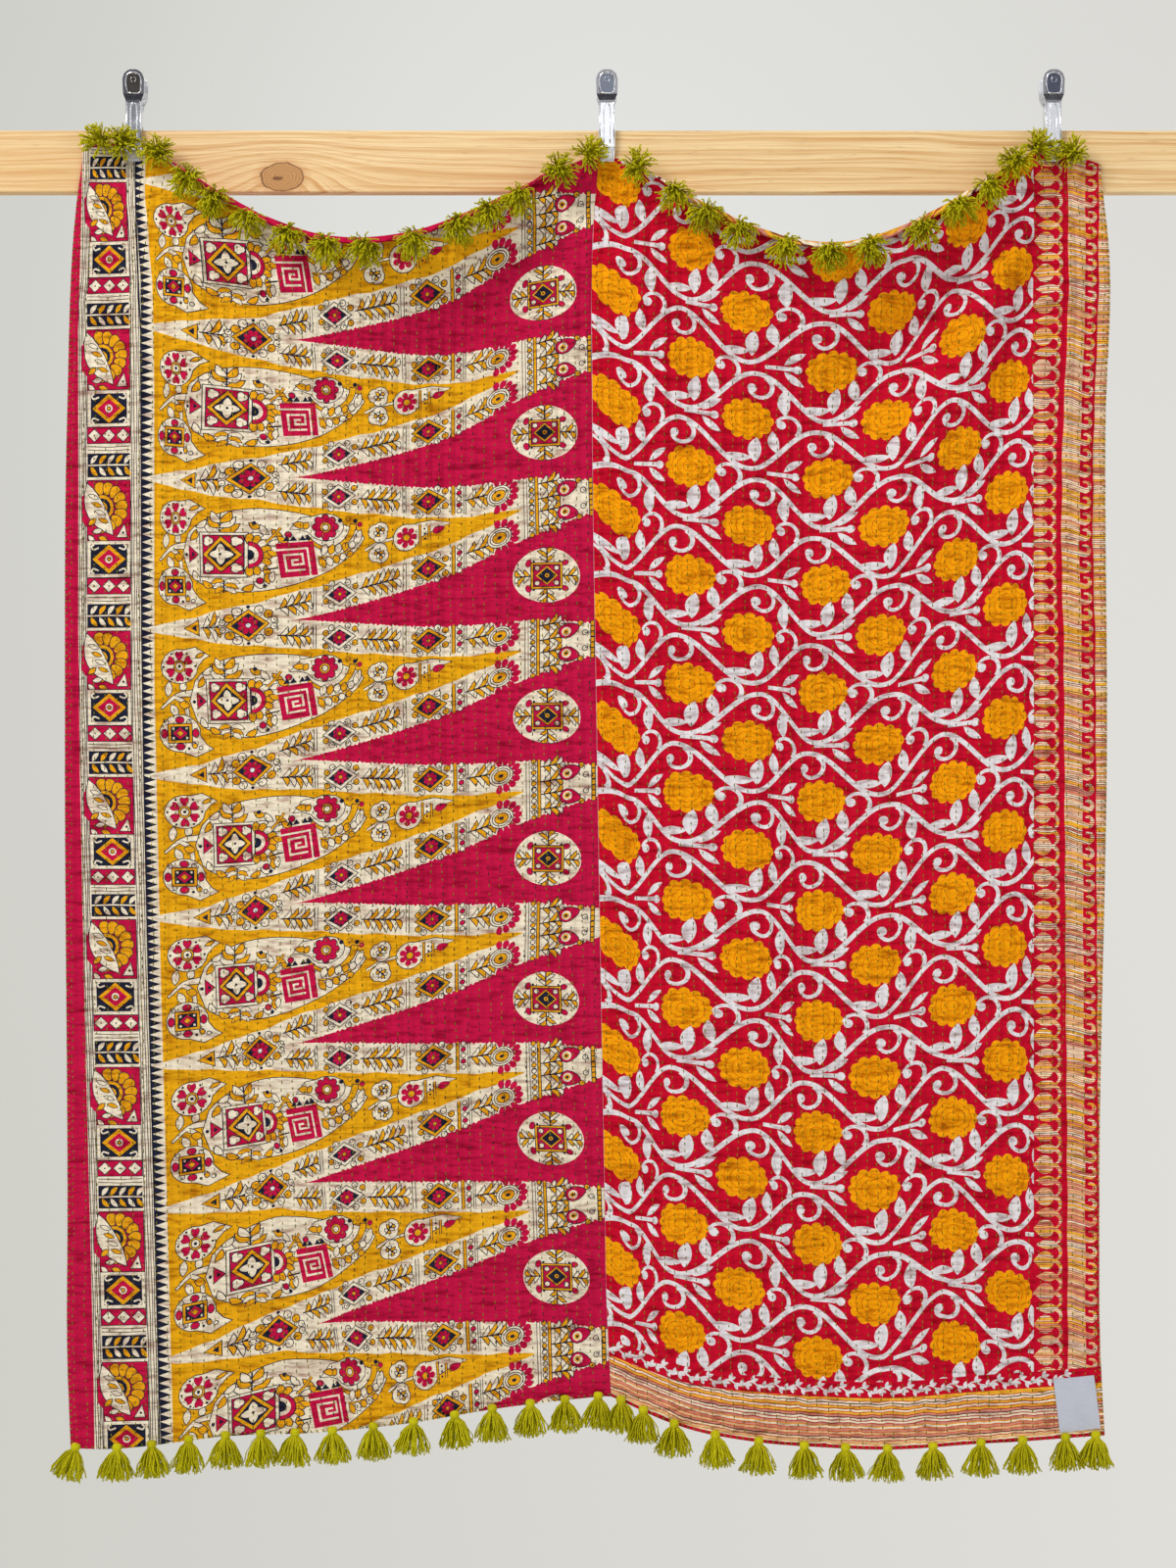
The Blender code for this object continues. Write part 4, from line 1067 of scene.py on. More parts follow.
    def shapes(self, border: bool) -> list[tuple[Array, Ink]]:
        """Every stamp of the border, or of the field, on the cloth.

        Args:
            border: True for the border, False for the field.

        Returns:
            Outlines in millimetres of x and h with their inks, in the order of printing.
        """
        made: list[tuple[Array, Ink]] = []
        if border:
            layers = [self.border_lines(), self.border_repeat()]
        else:
            inside = Motif().put(self.wedge(), 0, 0).put(self.medallion(), 452, 0)
            inside.put(self.arm(), 0, 0).put(self.arm(), 0, 0, flip=-1)
            layers = [self.ground(), inside, Motif().put(self.ochre_wedge(), 0, self.period / 2)]
        for layer in layers:
            points = np.concatenate([outline for outline, _ in layer.shapes])
            ends = np.cumsum([len(outline) for outline, _ in layer.shapes])[:-1]
            for row in self.rows:
                placed = np.split(self.to_cloth(points, row), ends)
                made += [(outline, ink) for outline, (_, ink) in zip(placed, layer.shapes)]
        return made


@dataclass
class VinePrint:
    """The right panel's print: half-drop vines with marigolds, a striped border and end band.

    Its flat place is X across, with a column of flowers every half_period, and Y down, with a
    vine every pitch.
    """

    half_period: float = 77.0
    # How far to the left of a half-drop the odd columns' crests lie.
    lag: float = 10.5
    pitch: float = 64.4
    flower_rows: int = 20
    crest_rise: float = 57.0
    # How far a flower lies from its crest: to the left in even columns, to the right in odd ones.
    flower_shift: float = 12.2
    bud_gap: float = 31.0
    # Each column of crests: x at its top and bottom, bulge, flowers' first height, pitch and bow.
    columns: tuple[tuple[float, ...], ...] = (
        (-55, -50, 0, -98, 62.7, -2), (44, 49, 0, -162, 62.7, 8), (107, 93, -1, -165, 62.8, 3),
        (193, 188, 10, -180, 62.9, -7), (272, 252, -7, -186, 63.3, -10),
        (364, 345, -5, -177, 64.1, -12), (423, 412, -6, -146, 64.5, -2),
        (503, 502, -8, -125, 66.2, -9), (554, 552, -6, -120, 66.6, -5),
    )

    def to_cloth(self, points: Array) -> Array:
        """x and h on the cloth of flat points, by each column's own line and the share between two."""
        crests = np.array([self.crest_at(column) for column in range(-1, len(self.columns) - 1)])
        row = points[:, 1] / self.pitch
        low = np.clip(np.searchsorted(crests, points[:, 0]) - 1, 0, len(crests) - 2)
        part = (points[:, 0] - crests[low]) / (crests[low + 1] - crests[low])
        knots = np.array(self.columns)
        bow = row * (18 - row) / 81
        placed = []
        for column in (low, low + 1):
            k = knots[column]
            x = k[:, 0] + (k[:, 1] - k[:, 0]) * row / 18 + k[:, 2] * bow
            h = k[:, 3] - k[:, 4] * row - k[:, 5] * bow
            placed.append(np.stack([x, h], axis=1))
        return placed[0] * (1 - part[:, None]) + placed[1] * part[:, None]

    def crest_at(self, column: int) -> float:
        """Flat X of a column's crests."""
        return column * self.half_period - (self.lag if column % 2 else 0.0)

    def marigold(self) -> Motif:
        """A marigold about its centre: even round lobes, slightly unequal by a cosine, and faint rings."""
        turn = np.linspace(0, 2 * np.pi, 12, endpoint=False)
        lobes = np.column_stack([23.0 * np.cos(turn), 19.0 * np.sin(turn), 6.0 + 0.5 * np.cos(3 * turn)])
        made = Motif().fill(lobed(17.0, lobes, 84), Ink.MARIGOLD)
        for share in (0.74, 0.5, 0.26):
            ring = lobed(17.0, lobes, 40) * share
            made.fill(ring * (1 + 0.45 / (24 * share)), Ink.DEEP_MARIGOLD)
            made.fill(ring * (1 - 0.45 / (24 * share)), Ink.MARIGOLD)
        return made

    def sprig(self, hanging: bool) -> Motif:
        """What grows from a vine round one crest, from the crest.

        Args:
            hanging: whether a leaf hangs from the falling part of the vine.

        Returns:
            The leaves, the hook and the tendril.
        """
        made = Motif()
        for x, y, turn, length, width in ((-67, 13, 97, 31, 15), (-50, 4, 79, 27, 13), (50, 37, 2, 31, 10)):
            made.put(Motif().fill(leaf(length, width, 1.5, 8), Ink.WHITE), x, y, turn)
        if hanging:
            made.put(Motif().fill(leaf(31, 14, 1.5, 8), Ink.WHITE), 30, 18, 88)
            made.fill(ribbon([(30, 28), (37, 27.5)], 3.4), Ink.WHITE)
        made.fill(ribbon(arc_of(-33, -1.5, 13.4, 40, -160), 5.2, 3.4), Ink.WHITE)
        made.put(spot(5.2, Ink.WHITE, 0, 10), -40.2, -4.4)
        made.fill(ribbon(arc_of(4, 16, 13, -62, 158), 5.2, 4.0), Ink.WHITE)
        made.put(spot(5.4, Ink.WHITE, 0, 10), -5.0, 18.0)
        return made

    def bud(self) -> Motif:
        """The bar, knob and two leaves at the left of a flower, from the flower's left side."""
        made = Motif().fill(ribbon([(-38, -1.6), (-20, -1.2), (-5, -0.6)], 4.4, 5.4), Ink.WHITE)
        made.put(spot(4.9, Ink.WHITE, 0, 10), -4.5, -0.4)
        made.put(Motif().fill(leaf(27, 8.4, -1.2, 6), Ink.WHITE), -18.5, -5.0, -35)
        return made.put(Motif().fill(leaf(27, 8.4, 1.2, 6), Ink.WHITE), -18.5, 2.6, 38)

    def shapes(self) -> list[tuple[Array, Ink]]:
        """Every stamp of the vines on the cloth, in the order of printing."""
        flat = Motif()
        across = np.arange(-0.8 * self.half_period, 7.6 * self.half_period, 4.6)
        marigold = self.marigold()
        for row in range(-3, self.flower_rows + 3):
            lead = (self.half_period - self.lag) * (row % 2)
            swing = 26 * np.cos(np.pi * (across - lead) / self.half_period)
            down = row * self.pitch - self.crest_rise + 26 - swing
            flat.fill(ribbon(np.stack([across, down], axis=1), 5.4), Ink.WHITE)
        for row in range(-3, self.flower_rows + 3):
            for column in range(-1, 8):
                if (row + column) % 2:
                    continue
                even = column % 2 == 0
                x, y = self.crest_at(column), row * self.pitch
                flat.put(self.sprig(even), x, y - self.crest_rise)
                x += -self.flower_shift if even else self.flower_shift
                flat.put(self.bud(), x - self.bud_gap, y)
                flat.put(marigold, x + 1.0, y)
        points = self.to_cloth(np.concatenate([outline for outline, _ in flat.shapes]))
        ends = np.cumsum([len(outline) for outline, _ in flat.shapes])[:-1]
        return [(outline, ink) for outline, (_, ink) in zip(np.split(points, ends), flat.shapes)]

    def side(self, x: float, h: Array | float) -> Array:
        """x of a line of the border, which drifts a little on its way down."""
        h = np.asarray(h, float)
        drift = np.interp(h, (-1500, -1180, -560, -450, -330, -155, 0), (3, 2, -2, -5, -4, 3, 4))
        return x + drift

    def border(self) -> list[tuple[Array, Ink]]:
        """The striped border down the right side: spade leaves on arcs, a band and its hooks."""
        made: list[tuple[Array, Ink]] = []
        down = np.arange(60.0, -1520, -6)

        def band(left: float, right: float, ink: Ink) -> None:
            """Adds a plain band that runs the whole way down, with slightly wavy sides."""
            left_x = self.side(left, down) + 0.5 * np.sin(down / 13)
            right_x = self.side(right, down) + 0.5 * np.sin(down / 17 + 1)
            outline = np.concatenate([np.stack([left_x, down], 1), np.stack([right_x, down], 1)[::-1]])
            made.append((outline, ink))

        def place(shape: Any, x: float, h: float) -> Array:
            """A shape of the border, y downwards, put on the cloth."""
            found = np.asarray(shape, float) * (1, -1) + (x, h)
            found[:, 0] = self.side(0, found[:, 1]) + found[:, 0]
            return found

        band(510, 640, Ink.CRIMSON)
        # A petal from its point at the left to its round end, and a slimmer one.
        turn = np.linspace(-2.2, 2.2, 12)
        round_end = np.column_stack([14.4 + 10.2 * np.cos(turn), 10.8 * np.sin(turn)])
        spade = np.concatenate([[(0.0, 0.0)], round_end])
        slim = spade * (0.98, 0.52)
        step = 18.5
        for i in range(86):
            h = 35.4 - step * i
            made.append((place(spade if i % 2 else slim, 514.2 if i % 2 else 517.6, h), Ink.STRAW))
            arc = arc_of(537.6, 9.2, 8.8, -90, 90)
            made.append((place(ribbon(arc, 5.4, 1.6), 0, h), Ink.STRAW))
        band(550.0, 554.4, Ink.CRIMSON)
        band(554.4, 574.6, Ink.STRAW)
        for i in range(86):
            h = 44 - step * i
            hook = np.concatenate([[(570.0, 0.4)], arc_of(580.8, -1.8, 5.2, 110, -120)])
            made.append((place(ribbon(hook, 6.8, 2.2), 0, h), Ink.STRAW))
        band(590.4, 640, Ink.STRAW)
        return made

    def end_band(self) -> list[tuple[Array, Ink]]:
        """The leafy line and the striped band over the bottom hem."""
        x = np.arange(10.0, 640, 9)
        hem = CLOTH.bottom(x * MM) / MM
        top = hem + self.band_height(x)
        made = [(np.concatenate([np.stack([x, top + 10], 1), np.stack([x, hem - 20], 1)[::-1]]), Ink.CRIMSON)]
        made.append((np.concatenate([np.stack([x, top - 9], 1), np.stack([x, hem + 4], 1)[::-1]]), Ink.STRAW))
        fine = np.arange(10.0, 560, 2.4)
        middle = np.interp(fine, x, top)
        vine = middle + 3.0 * np.sin(fine * np.pi / 13.0)
        made.append((ribbon(np.stack([fine, vine], axis=1), 1.8), Ink.WHITE))
        for i, place in enumerate(np.arange(14.0, 555, 6.5)):
            h = float(np.interp(place, x, top)) + 3.0 * math.sin(place * math.pi / 13.0)
            side = 1 if i % 2 else -1
            for lean in (0.35, 1.15):
                one = leaf(8.6, 4.0, 0.0, 4)
                c, s = math.cos(lean * side), math.sin(lean * side)
                across = place + c * one[:, 0] - s * one[:, 1]
                up = h + s * one[:, 0] + c * one[:, 1]
                made.append((np.stack([across, up], 1), Ink.WHITE))
        return made

    def band_height(self, x: Array) -> Array:
        """How far the leafy line lies over the hem."""
        return np.interp(x, (20, 120, 200, 480), (56, 62, 67, 70))

    def stripe_place(self, x: Array, h: Array) -> Array:
        """How many stripes down a place of the striped cloth lies.

        Args:
            x: places across, in millimetres.
            h: heights on the cloth, in millimetres.

        Returns:
            In the end band, stripes that follow the hem. Above it, level stripes that slant in the
            border's inner band.
        """
        hem = CLOTH.bottom(x * MM) / MM
        above_hem = h - hem
        slant = 0.30 * np.clip(x - self.side(558, h), 0, 24)
        return np.where(above_hem < self.band_height(x) - 2, above_hem / 3.3 + 400, -(h + slant) / 2.35)


@dataclass
class PrintedPiece:
    """One printed piece of the throw's face, cut to its outline as one mesh.

    The outline lies between two columns of the cloth, and its left or right side may be the
    print's own border line.
    """

    name: str
    ground: Ink
    left: Callable[[Array], Array]
    right: Callable[[Array], Array]
    flat: tuple[float, float]
    replaced: tuple[str, ...]
    slot: str
    grid: float = 7.0

    def outline(self) -> Array:
        """The piece's outline in millimetres of x and h, anticlockwise."""
        drops = np.linspace(0, 1, 300)
        curl = np.linspace(-1, 0, 5)[:-1]
        sides = []
        for side in (self.left, self.right):
            sides.append(side(np.concatenate([curl, drops])))
        left, right = sides
        bottom_x = np.linspace(left[-1, 0], right[-1, 0], 150)[1:-1]
        bottom = np.stack([bottom_x, CLOTH.bottom(bottom_x * MM) / MM], axis=1)
        top_x = np.linspace(right[0, 0], left[0, 0], 220)[1:-1]
        top = np.stack([top_x, (CLOTH.start(top_x * MM) + CLOTH.curl_length) / MM], axis=1)
        return np.concatenate([left, bottom, right[::-1], top])

    def near(self, shapes: list[tuple[Array, Ink]], outline: Array) -> Array:
        """Which stamps have a corner in the piece, or within 2 mm of it."""
        points = np.concatenate([shape for shape, _ in shapes])
        starts = np.cumsum([0] + [len(shape) for shape, _ in shapes[:-1]])
        x, h = points[:, 0], points[:, 1]
        top = (CLOTH.start(x * MM) + CLOTH.curl_length) / MM
        low = CLOTH.bottom(x * MM) / MM
        across = (x > outline[:, 0].min() - 2) & (x < outline[:, 0].max() + 2)
        return np.logical_or.reduceat(across & (h < top + 2) & (h > low - 2), starts)

    def loose_points(self, low: Array, high: Array) -> Array:
        """Points that give the cloth its curves: a staggered grid, and closer rows on the curl."""
        across, up = np.arange(low[0], high[0], self.grid), np.arange(low[1], high[1], self.grid * 0.87)
        gx, gh = np.meshgrid(across, up)
        gx = gx + np.where(np.arange(len(gx)) % 2, self.grid / 2, 0)[:, None]
        spare = np.stack([gx.ravel(), gh.ravel()], axis=1)
        top = CLOTH.start(spare[:, 0] * MM) / MM
        spare = spare[(spare[:, 1] < top) & (spare[:, 1] > CLOTH.bottom(spare[:, 0] * MM) / MM)]
        x, q = np.meshgrid(np.arange(low[0], high[0], self.grid), np.linspace(-0.1, 0.95, 10))
        x = x.ravel()
        curl = np.stack([x, (CLOTH.start(x * MM) + q.ravel() * CLOTH.curl_length) / MM], axis=1)
        return np.concatenate([spare, curl])

    def build(self, shapes: list[tuple[Array, Ink]], material: bpy.types.Material) -> bpy.types.Object:
        """Cuts the piece.

        Args:
            shapes: the print's outlines and inks, later ones over earlier ones.
            material: the cotton's material, which reads the colour from "print".

        Returns:
            The piece, with the ink of the topmost outline on each triangle.
        """
        outline = self.outline()
        kept = [shape for shape, is_near in zip(shapes, self.near(shapes, outline)) if is_near]
        loops = [outline] + [shape if area_of(shape) > 0 else shape[::-1] for shape, _ in kept]
        inks = np.array([self.ground.linear] + [ink.linear for _, ink in kept])
        ends = np.cumsum([len(loop) for loop in loops])
        faces = [list(range(end - len(loop), end)) for loop, end in zip(loops, ends)]
        low, high = outline.min(axis=0), outline.max(axis=0)
        every = np.concatenate(loops + [self.loose_points(low, high)])
        cut = delaunay_2d_cdt([Vector(p) for p in every], [], faces, 1, 1e-3, True)
        flat, triangles, top = self.topmost(cut, [area_of(loop) for loop in loops])
        x, h = flat[:, 0] * MM, flat[:, 1] * MM
        points, normals = CLOTH.face(x, h)
        mesh = new_mesh(self.name, points, triangles)
        colours = np.concatenate([inks[top], np.ones((len(top), 1))], axis=1)
        layer = mesh.color_attributes.new("print", "FLOAT_COLOR", "CORNER")
        layer.data.foreach_set("color", np.repeat(colours, 3, axis=0).astype(np.float32).ravel())
        used = loop_vertices(mesh)
        write_uv(mesh, "OFBake", (flat - low)[used] / float(max(high - low)))
        write_uv(mesh, "quilt", quilt_place(x, h)[used])
        striped = np.repeat(np.array([False] + [ink is Ink.STRAW for _, ink in kept])[top], 3)
        stripes = VinePrint().stripe_place(flat[:, 0], flat[:, 1])[used]
        write_uv(mesh, "stripe", np.stack([striped, stripes], axis=1))
        mesh.normals_split_custom_set_from_vertices(normals)
        piece = new_object(self.name, mesh, material, self.slot)
        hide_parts(*self.replaced)
        log.info("%s: %d stamps, %d triangles", self.name, len(loops), len(triangles))
        return piece

    def topmost(self, cut: Any, areas: list[float]) -> tuple[Array, Array, Array]:
        """Reads the cut: its points, its triangles in the outline, and the top stamp of each.

        A stamp whose outline crosses itself can spread over the whole piece, so one that covers
        much more than its own area is left out.

        Args:
            cut: what delaunay_2d_cdt returns.
            areas: each stamp's own area.

        Returns:
            Points that are in use, triangles, and each triangle's topmost stamp.
        """
        flat, triangles = np.array(cut[0]), np.array(cut[2])
        counts = np.array([len(over) for over in cut[5]])
        stamps = np.array([stamp for over in cut[5] for stamp in over])
        owner = np.repeat(np.arange(len(triangles)), counts)
        a, b, c = (flat[triangles[:, i]] for i in range(3))
        ab, ac = b - a, c - a
        size = 0.5 * np.abs(ab[:, 0] * ac[:, 1] - ac[:, 0] * ab[:, 1])
        covered = np.bincount(stamps, weights=size[owner], minlength=len(areas))
        spread = covered > 1.5 * np.abs(areas) + 30
        spread[0] = False
        if spread.any():
            log.info("%s: %d stamps spread and are left out", self.name, int(spread.sum()))
        fair = ~spread[stamps]
        top = np.full(len(triangles), -1)
        np.maximum.at(top, owner[fair], stamps[fair])
        within = np.zeros(len(triangles), bool)
        within[owner[stamps == 0]] = True
        used, compact = np.unique(triangles[within], return_inverse=True)
        return flat[used], compact.reshape(-1, 3), top[within]


STITCH_COLUMNS = 92


def quilt_place(x: Array, h: Array) -> Array:
    """How many stitch columns across, and metres down, a place on the cloth lies."""
    drop_share = np.clip((CLOTH.start(x) - h) / (CLOTH.start(x) - CLOTH.bottom(x)), 0, 1)
    left, seam, right = (CLOTH.upright(column, drop_share) for column in (-1.0, 0.0, 1.0))
    column = np.where(x < seam, (x - seam) / (seam - left), (x - seam) / (right - seam))
    return np.stack([column * STITCH_COLUMNS / 2, h], axis=-1)


def new_mesh(name: str, points: Array, faces: Array) -> bpy.types.Mesh:
    """A smooth mesh from arrays."""
    mesh = bpy.data.meshes.new(name)
    mesh.from_pydata(points.tolist(), [], faces.tolist())
    mesh.update()
    mesh.shade_smooth()
    return mesh


def loop_vertices(mesh: bpy.types.Mesh) -> Array:
    """The vertex of each corner of a mesh."""
    found = np.empty(len(mesh.loops), np.int32)
    mesh.loops.foreach_get("vertex_index", found)
    return found


def write_uv(mesh: bpy.types.Mesh, name: str, places: Array) -> None:
    """Adds a UV map from one place a corner."""
    layer = mesh.uv_layers.new(name=name)
    layer.uv.foreach_set("vector", places.astype(np.float32).ravel())


def new_object(
    name: str, mesh: bpy.types.Mesh, material: bpy.types.Material, slot: str | None
) -> bpy.types.Object:
    """Puts a mesh in the scene with its material, riding on the part's one body.

    Args:
        name: the piece's name.
        mesh: its mesh, in its place.
        material: its material.
        slot: not used.

    Returns:
        The new object.
    """
    mesh.materials.append(material)
    thing = bpy.data.objects.new(name, mesh)
    bpy.context.scene.collection.objects.link(thing)
    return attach(thing, "root")


class Value:
    """A number's or colour's socket with arithmetic: each operator adds a Math node."""

    def __init__(self, shade: "Shade", socket: Any) -> None:
        """Wraps a socket of a shade's tree."""
        self.shade = shade
        self.socket = socket

    def _math(self, operation: str, *others: Any) -> "Value":
        """Adds one Math node on this value and the others."""
        return self.shade.node("ShaderNodeMath", {"operation": operation}, dict(enumerate((self, *others))))

    def __add__(self, other: Any) -> "Value":
        """This plus other."""
        return self._math("ADD", other)

    __radd__ = __add__

    def __sub__(self, other: Any) -> "Value":
        """This less other."""
        return self._math("SUBTRACT", other)

    def __rsub__(self, other: Any) -> "Value":
        """Other less this."""
        return self.shade.node("ShaderNodeMath", {"operation": "SUBTRACT"}, {0: other, 1: self})

    def __mul__(self, other: Any) -> "Value":
        """This times other."""
        return self._math("MULTIPLY", other)

    __rmul__ = __mul__

    def __truediv__(self, other: Any) -> "Value":
        """This over other."""
        return self._math("DIVIDE", other)

    def __pow__(self, other: Any) -> "Value":
        """This to the power of other."""
        return self._math("POWER", other)

    def sine(self) -> "Value":
        """The sine."""
        return self._math("SINE")

    def absolute(self) -> "Value":
        """The size without its sign."""
        return self._math("ABSOLUTE")

    def fraction(self) -> "Value":
        """The part after the whole number."""
        return self._math("FRACT")

    def exponent(self) -> "Value":
        """e to this power."""
        return self._math("EXPONENT")

    def limited(self) -> "Value":
        """This kept from 0 to 1."""
        return self.shade.node("ShaderNodeClamp", {}, {0: self})


class Shade:
    """A material or a world under construction."""

    def __init__(self, name: str, world: bool = False) -> None:
        """Starts a material with its Principled shader, or a world with its Background."""
        self.owner = (bpy.data.worlds if world else bpy.data.materials).new(name)
        self.owner.use_nodes = True
        self.tree = self.owner.node_tree
        self.shader = self.tree.nodes["Background" if world else "Principled BSDF"]

    def node(self, kind: str, settings: dict[str, Any], inputs: dict[Any, Any], output: Any = 0) -> Value:
        """Adds any node.

        Args:
            kind: the node's type.
            settings: its own properties, set first. "stops" holds a ramp's (place, colour) pairs.
            inputs: values or links by socket.
            output: which output is wanted.

        Returns:
            The output, wrapped.
        """
        node = self.tree.nodes.new(kind)
        for key, value in settings.items():
            if key == "stops":
                ramp = node.color_ramp
                while len(ramp.elements) < len(value):
                    ramp.elements.new(0.5)
                for element, (place, colour) in zip(ramp.elements, value):
                    element.position = place
                    element.color = (*colour, 1)
            else:
                setattr(node, key, value)
        for key, value in inputs.items():
            socket = node.inputs[key]
            if isinstance(value, Value):
                self.tree.links.new(value.socket, socket)
            else:
                socket.default_value = value
        return Value(self, node.outputs[output])

    def axes(self, source: Value) -> tuple[Value, Value, Value]:
        """The three parts of a vector."""
        split = self.tree.nodes.new("ShaderNodeSeparateXYZ")
        self.tree.links.new(source.socket, split.inputs[0])
        return Value(self, split.outputs[0]), Value(self, split.outputs[1]), Value(self, split.outputs[2])

    def place(self) -> Value:
        """Object coordinates."""
        return self.node("ShaderNodeTexCoord", {}, {}, "Object")

    def vector(self, x: Any, y: Any, z: Any) -> Value:
        """A vector of three numbers."""
        return self.node("ShaderNodeCombineXYZ", {}, {0: x, 1: y, 2: z})

    def noise(self, where: Value, scale: float, detail: float = 2.0, roughness: float = 0.5) -> Value:
        """Noise of about 0 to 1."""
        inputs = {"Vector": where, "Scale": scale, "Detail": detail, "Roughness": roughness}
        return self.node("ShaderNodeTexNoise", {}, inputs)

    def mix(self, factor: Any, first: Any, second: Any, blend: str = "MIX") -> Value:
        """One colour mixed into another."""
        settings = {"data_type": "RGBA", "blend_type": blend}
        parts = {"Factor": factor, 6: self._colour(first), 7: self._colour(second)}
        return self.node("ShaderNodeMix", settings, parts, 2)

    def _colour(self, value: Any) -> Any:
        """A colour of three numbers as one of four."""
        return value if isinstance(value, Value) else (*value, 1)

    def bump(self, height: Value, distance: float, strength: float = 1.0) -> Value:
        """A bumped normal, with height in units of distance."""
        return self.node("ShaderNodeBump", {}, {"Strength": strength, "Distance": distance, "Height": height})

    def finish(self, **sockets: Any) -> bpy.types.Material:
        """Sets or links the shader's sockets, named with _ for each space, and gives the material."""
        for key, value in sockets.items():
            socket = self.shader.inputs[key.replace("_", " ")]
            if isinstance(value, Value):
                self.tree.links.new(value.socket, socket)
            elif isinstance(value, tuple) and len(value) == 3:
                socket.default_value = (*value, 1)
            else:
                socket.default_value = value
        return self.owner


@dataclass(frozen=True)
class PrintedCotton:
    """Quilted printed cotton: ink from an attribute, puckers between the stitch columns, and painted shade in
    the puckers' valleys.
    """

    name: str
    striped: bool
    pucker: float = 0.0050
    fade: float = 0.005

    def make(self) -> bpy.types.Material:
        """Builds the material."""
        shade = Shade(self.name)
        ink = shade.node("ShaderNodeAttribute", {"attribute_name": "print"}, {}, "Color")
        quilt = shade.node("ShaderNodeUVMap", {"uv_map": "quilt"}, {})
        column, down, _ = shade.axes(quilt)
        place = shade.place()
        if self.striped:
            ink = self.stripes(shade, ink)
        between = (column * math.pi).sine().absolute()
        ripple = shade.noise(shade.vector(column * 0.55, down * 150.0, 0.0), 1.0, 2.0, 0.6)
        broad = shade.noise(shade.vector(column * 0.18, down * 46.0, 4.0), 1.0, 1.0)
        height = ripple * (between * 0.5 + 0.5) + broad * 0.9 + between * 0.12
        mottle = shade.noise(place, 62.0, 3.0, 0.6)
        weave = shade.noise(shade.vector(column * 8.0, down * 900.0, 0.0), 1.0, 1.0)
        worn = shade.mix((mottle + weave) * self.fade, ink, (0.90, 0.80, 0.72))
        # Painted shade: the ink is darkened in the low places of the ripple and broad pucker noise.
        painted_valley_shade = ((0.51 - ripple) * 5.0).limited() * 0.78 + ((0.47 - broad) * 3.4).limited() * 0.45
        shadowed = shade.mix(painted_valley_shade.limited(), worn, (0.46, 0.30, 0.30), "MULTIPLY")
        return shade.finish(
            Base_Color=shadowed,
            Roughness=mottle * 0.1 + 0.88,
            Specular_IOR_Level=0.05,
            Normal=shade.bump(height, self.pucker),
        )

    def stripes(self, shade: Shade, ink: Value) -> Value:
        """Draws wavering stripes where the "stripe" map's U is 1.

        Args:
            shade: the material.
            ink: the printed colour.

        Returns:
            The colour with gold, mauve and straw stripes, some edged with a thin maroon line.
        """
        marked, count, _ = shade.axes(shade.node("ShaderNodeUVMap", {"uv_map": "stripe"}, {}))
        x, y, z = shade.axes(shade.place())
        waver = shade.noise(shade.vector(x * 42.0, y * 10.0, z * 26.0), 1.0, 2.0)
        at = count + waver * 2.4
        part = at.fraction()
        number = at - part
        first = shade.node("ShaderNodeTexWhiteNoise", {"noise_dimensions": "1D"}, {"W": number})
        second = shade.node("ShaderNodeTexWhiteNoise", {"noise_dimensions": "1D"}, {"W": number + 0.37})
        body = shade.node("ShaderNodeValToRGB", {"stops": self.bodies}, {0: first})
        edge = shade.node("ShaderNodeValToRGB", {"stops": self.edges}, {0: second})
        line = ((0.40 - part) * 14.0).limited()
        return shade.mix(marked, ink, shade.mix(line, body, edge))

    @property
    def bodies(self) -> list[tuple[float, tuple[float, float, float]]]:
        """The broad stripes' colours by their share."""
        inks = tuple(linear(c) for c in ((252, 236, 206), (250, 190, 56), (244, 200, 150), (222, 146, 124)))
        return [(0.0, inks[0]), (0.36, inks[0]), (0.40, inks[1]), (0.60, inks[1]), (0.64, inks[2]),
                (0.80, inks[2]), (0.84, inks[3])]

    @property
    def edges(self) -> list[tuple[float, tuple[float, float, float]]]:
        """The thin lines' colours by their share."""
        inks = (linear((222, 104, 52)), linear((190, 62, 52)), linear((242, 164, 40)), linear((104, 24, 48)))
        return [(0.0, inks[0]), (0.30, inks[0]), (0.34, inks[1]), (0.60, inks[1]), (0.64, inks[2]),
                (0.80, inks[2]), (0.86, inks[3])]


@dataclass(frozen=True)
class Thread:
    """Twisted cotton thread or yarn."""

    name: str
    light: tuple[int, int, int]
    dark: tuple[int, int, int]
    scale: float = 260.0

    def make(self) -> bpy.types.Material:
        """Builds the material: light and dark fibres by noise, with a fine fibre bump."""
        shade = Shade(self.name)
        place = shade.place()
        fibre = shade.noise(place, self.scale, 2.0, 0.6)
        tint = shade.noise(place, 30.0, 2.0)
        blend = ((fibre + tint) * 1.3 - 0.8).limited()
        colour = shade.mix(blend, linear(self.dark), linear(self.light))
        return shade.finish(
            Base_Color=colour, Roughness=0.9, Specular_IOR_Level=0.2, Normal=shade.bump(fibre, 0.0003)
        )


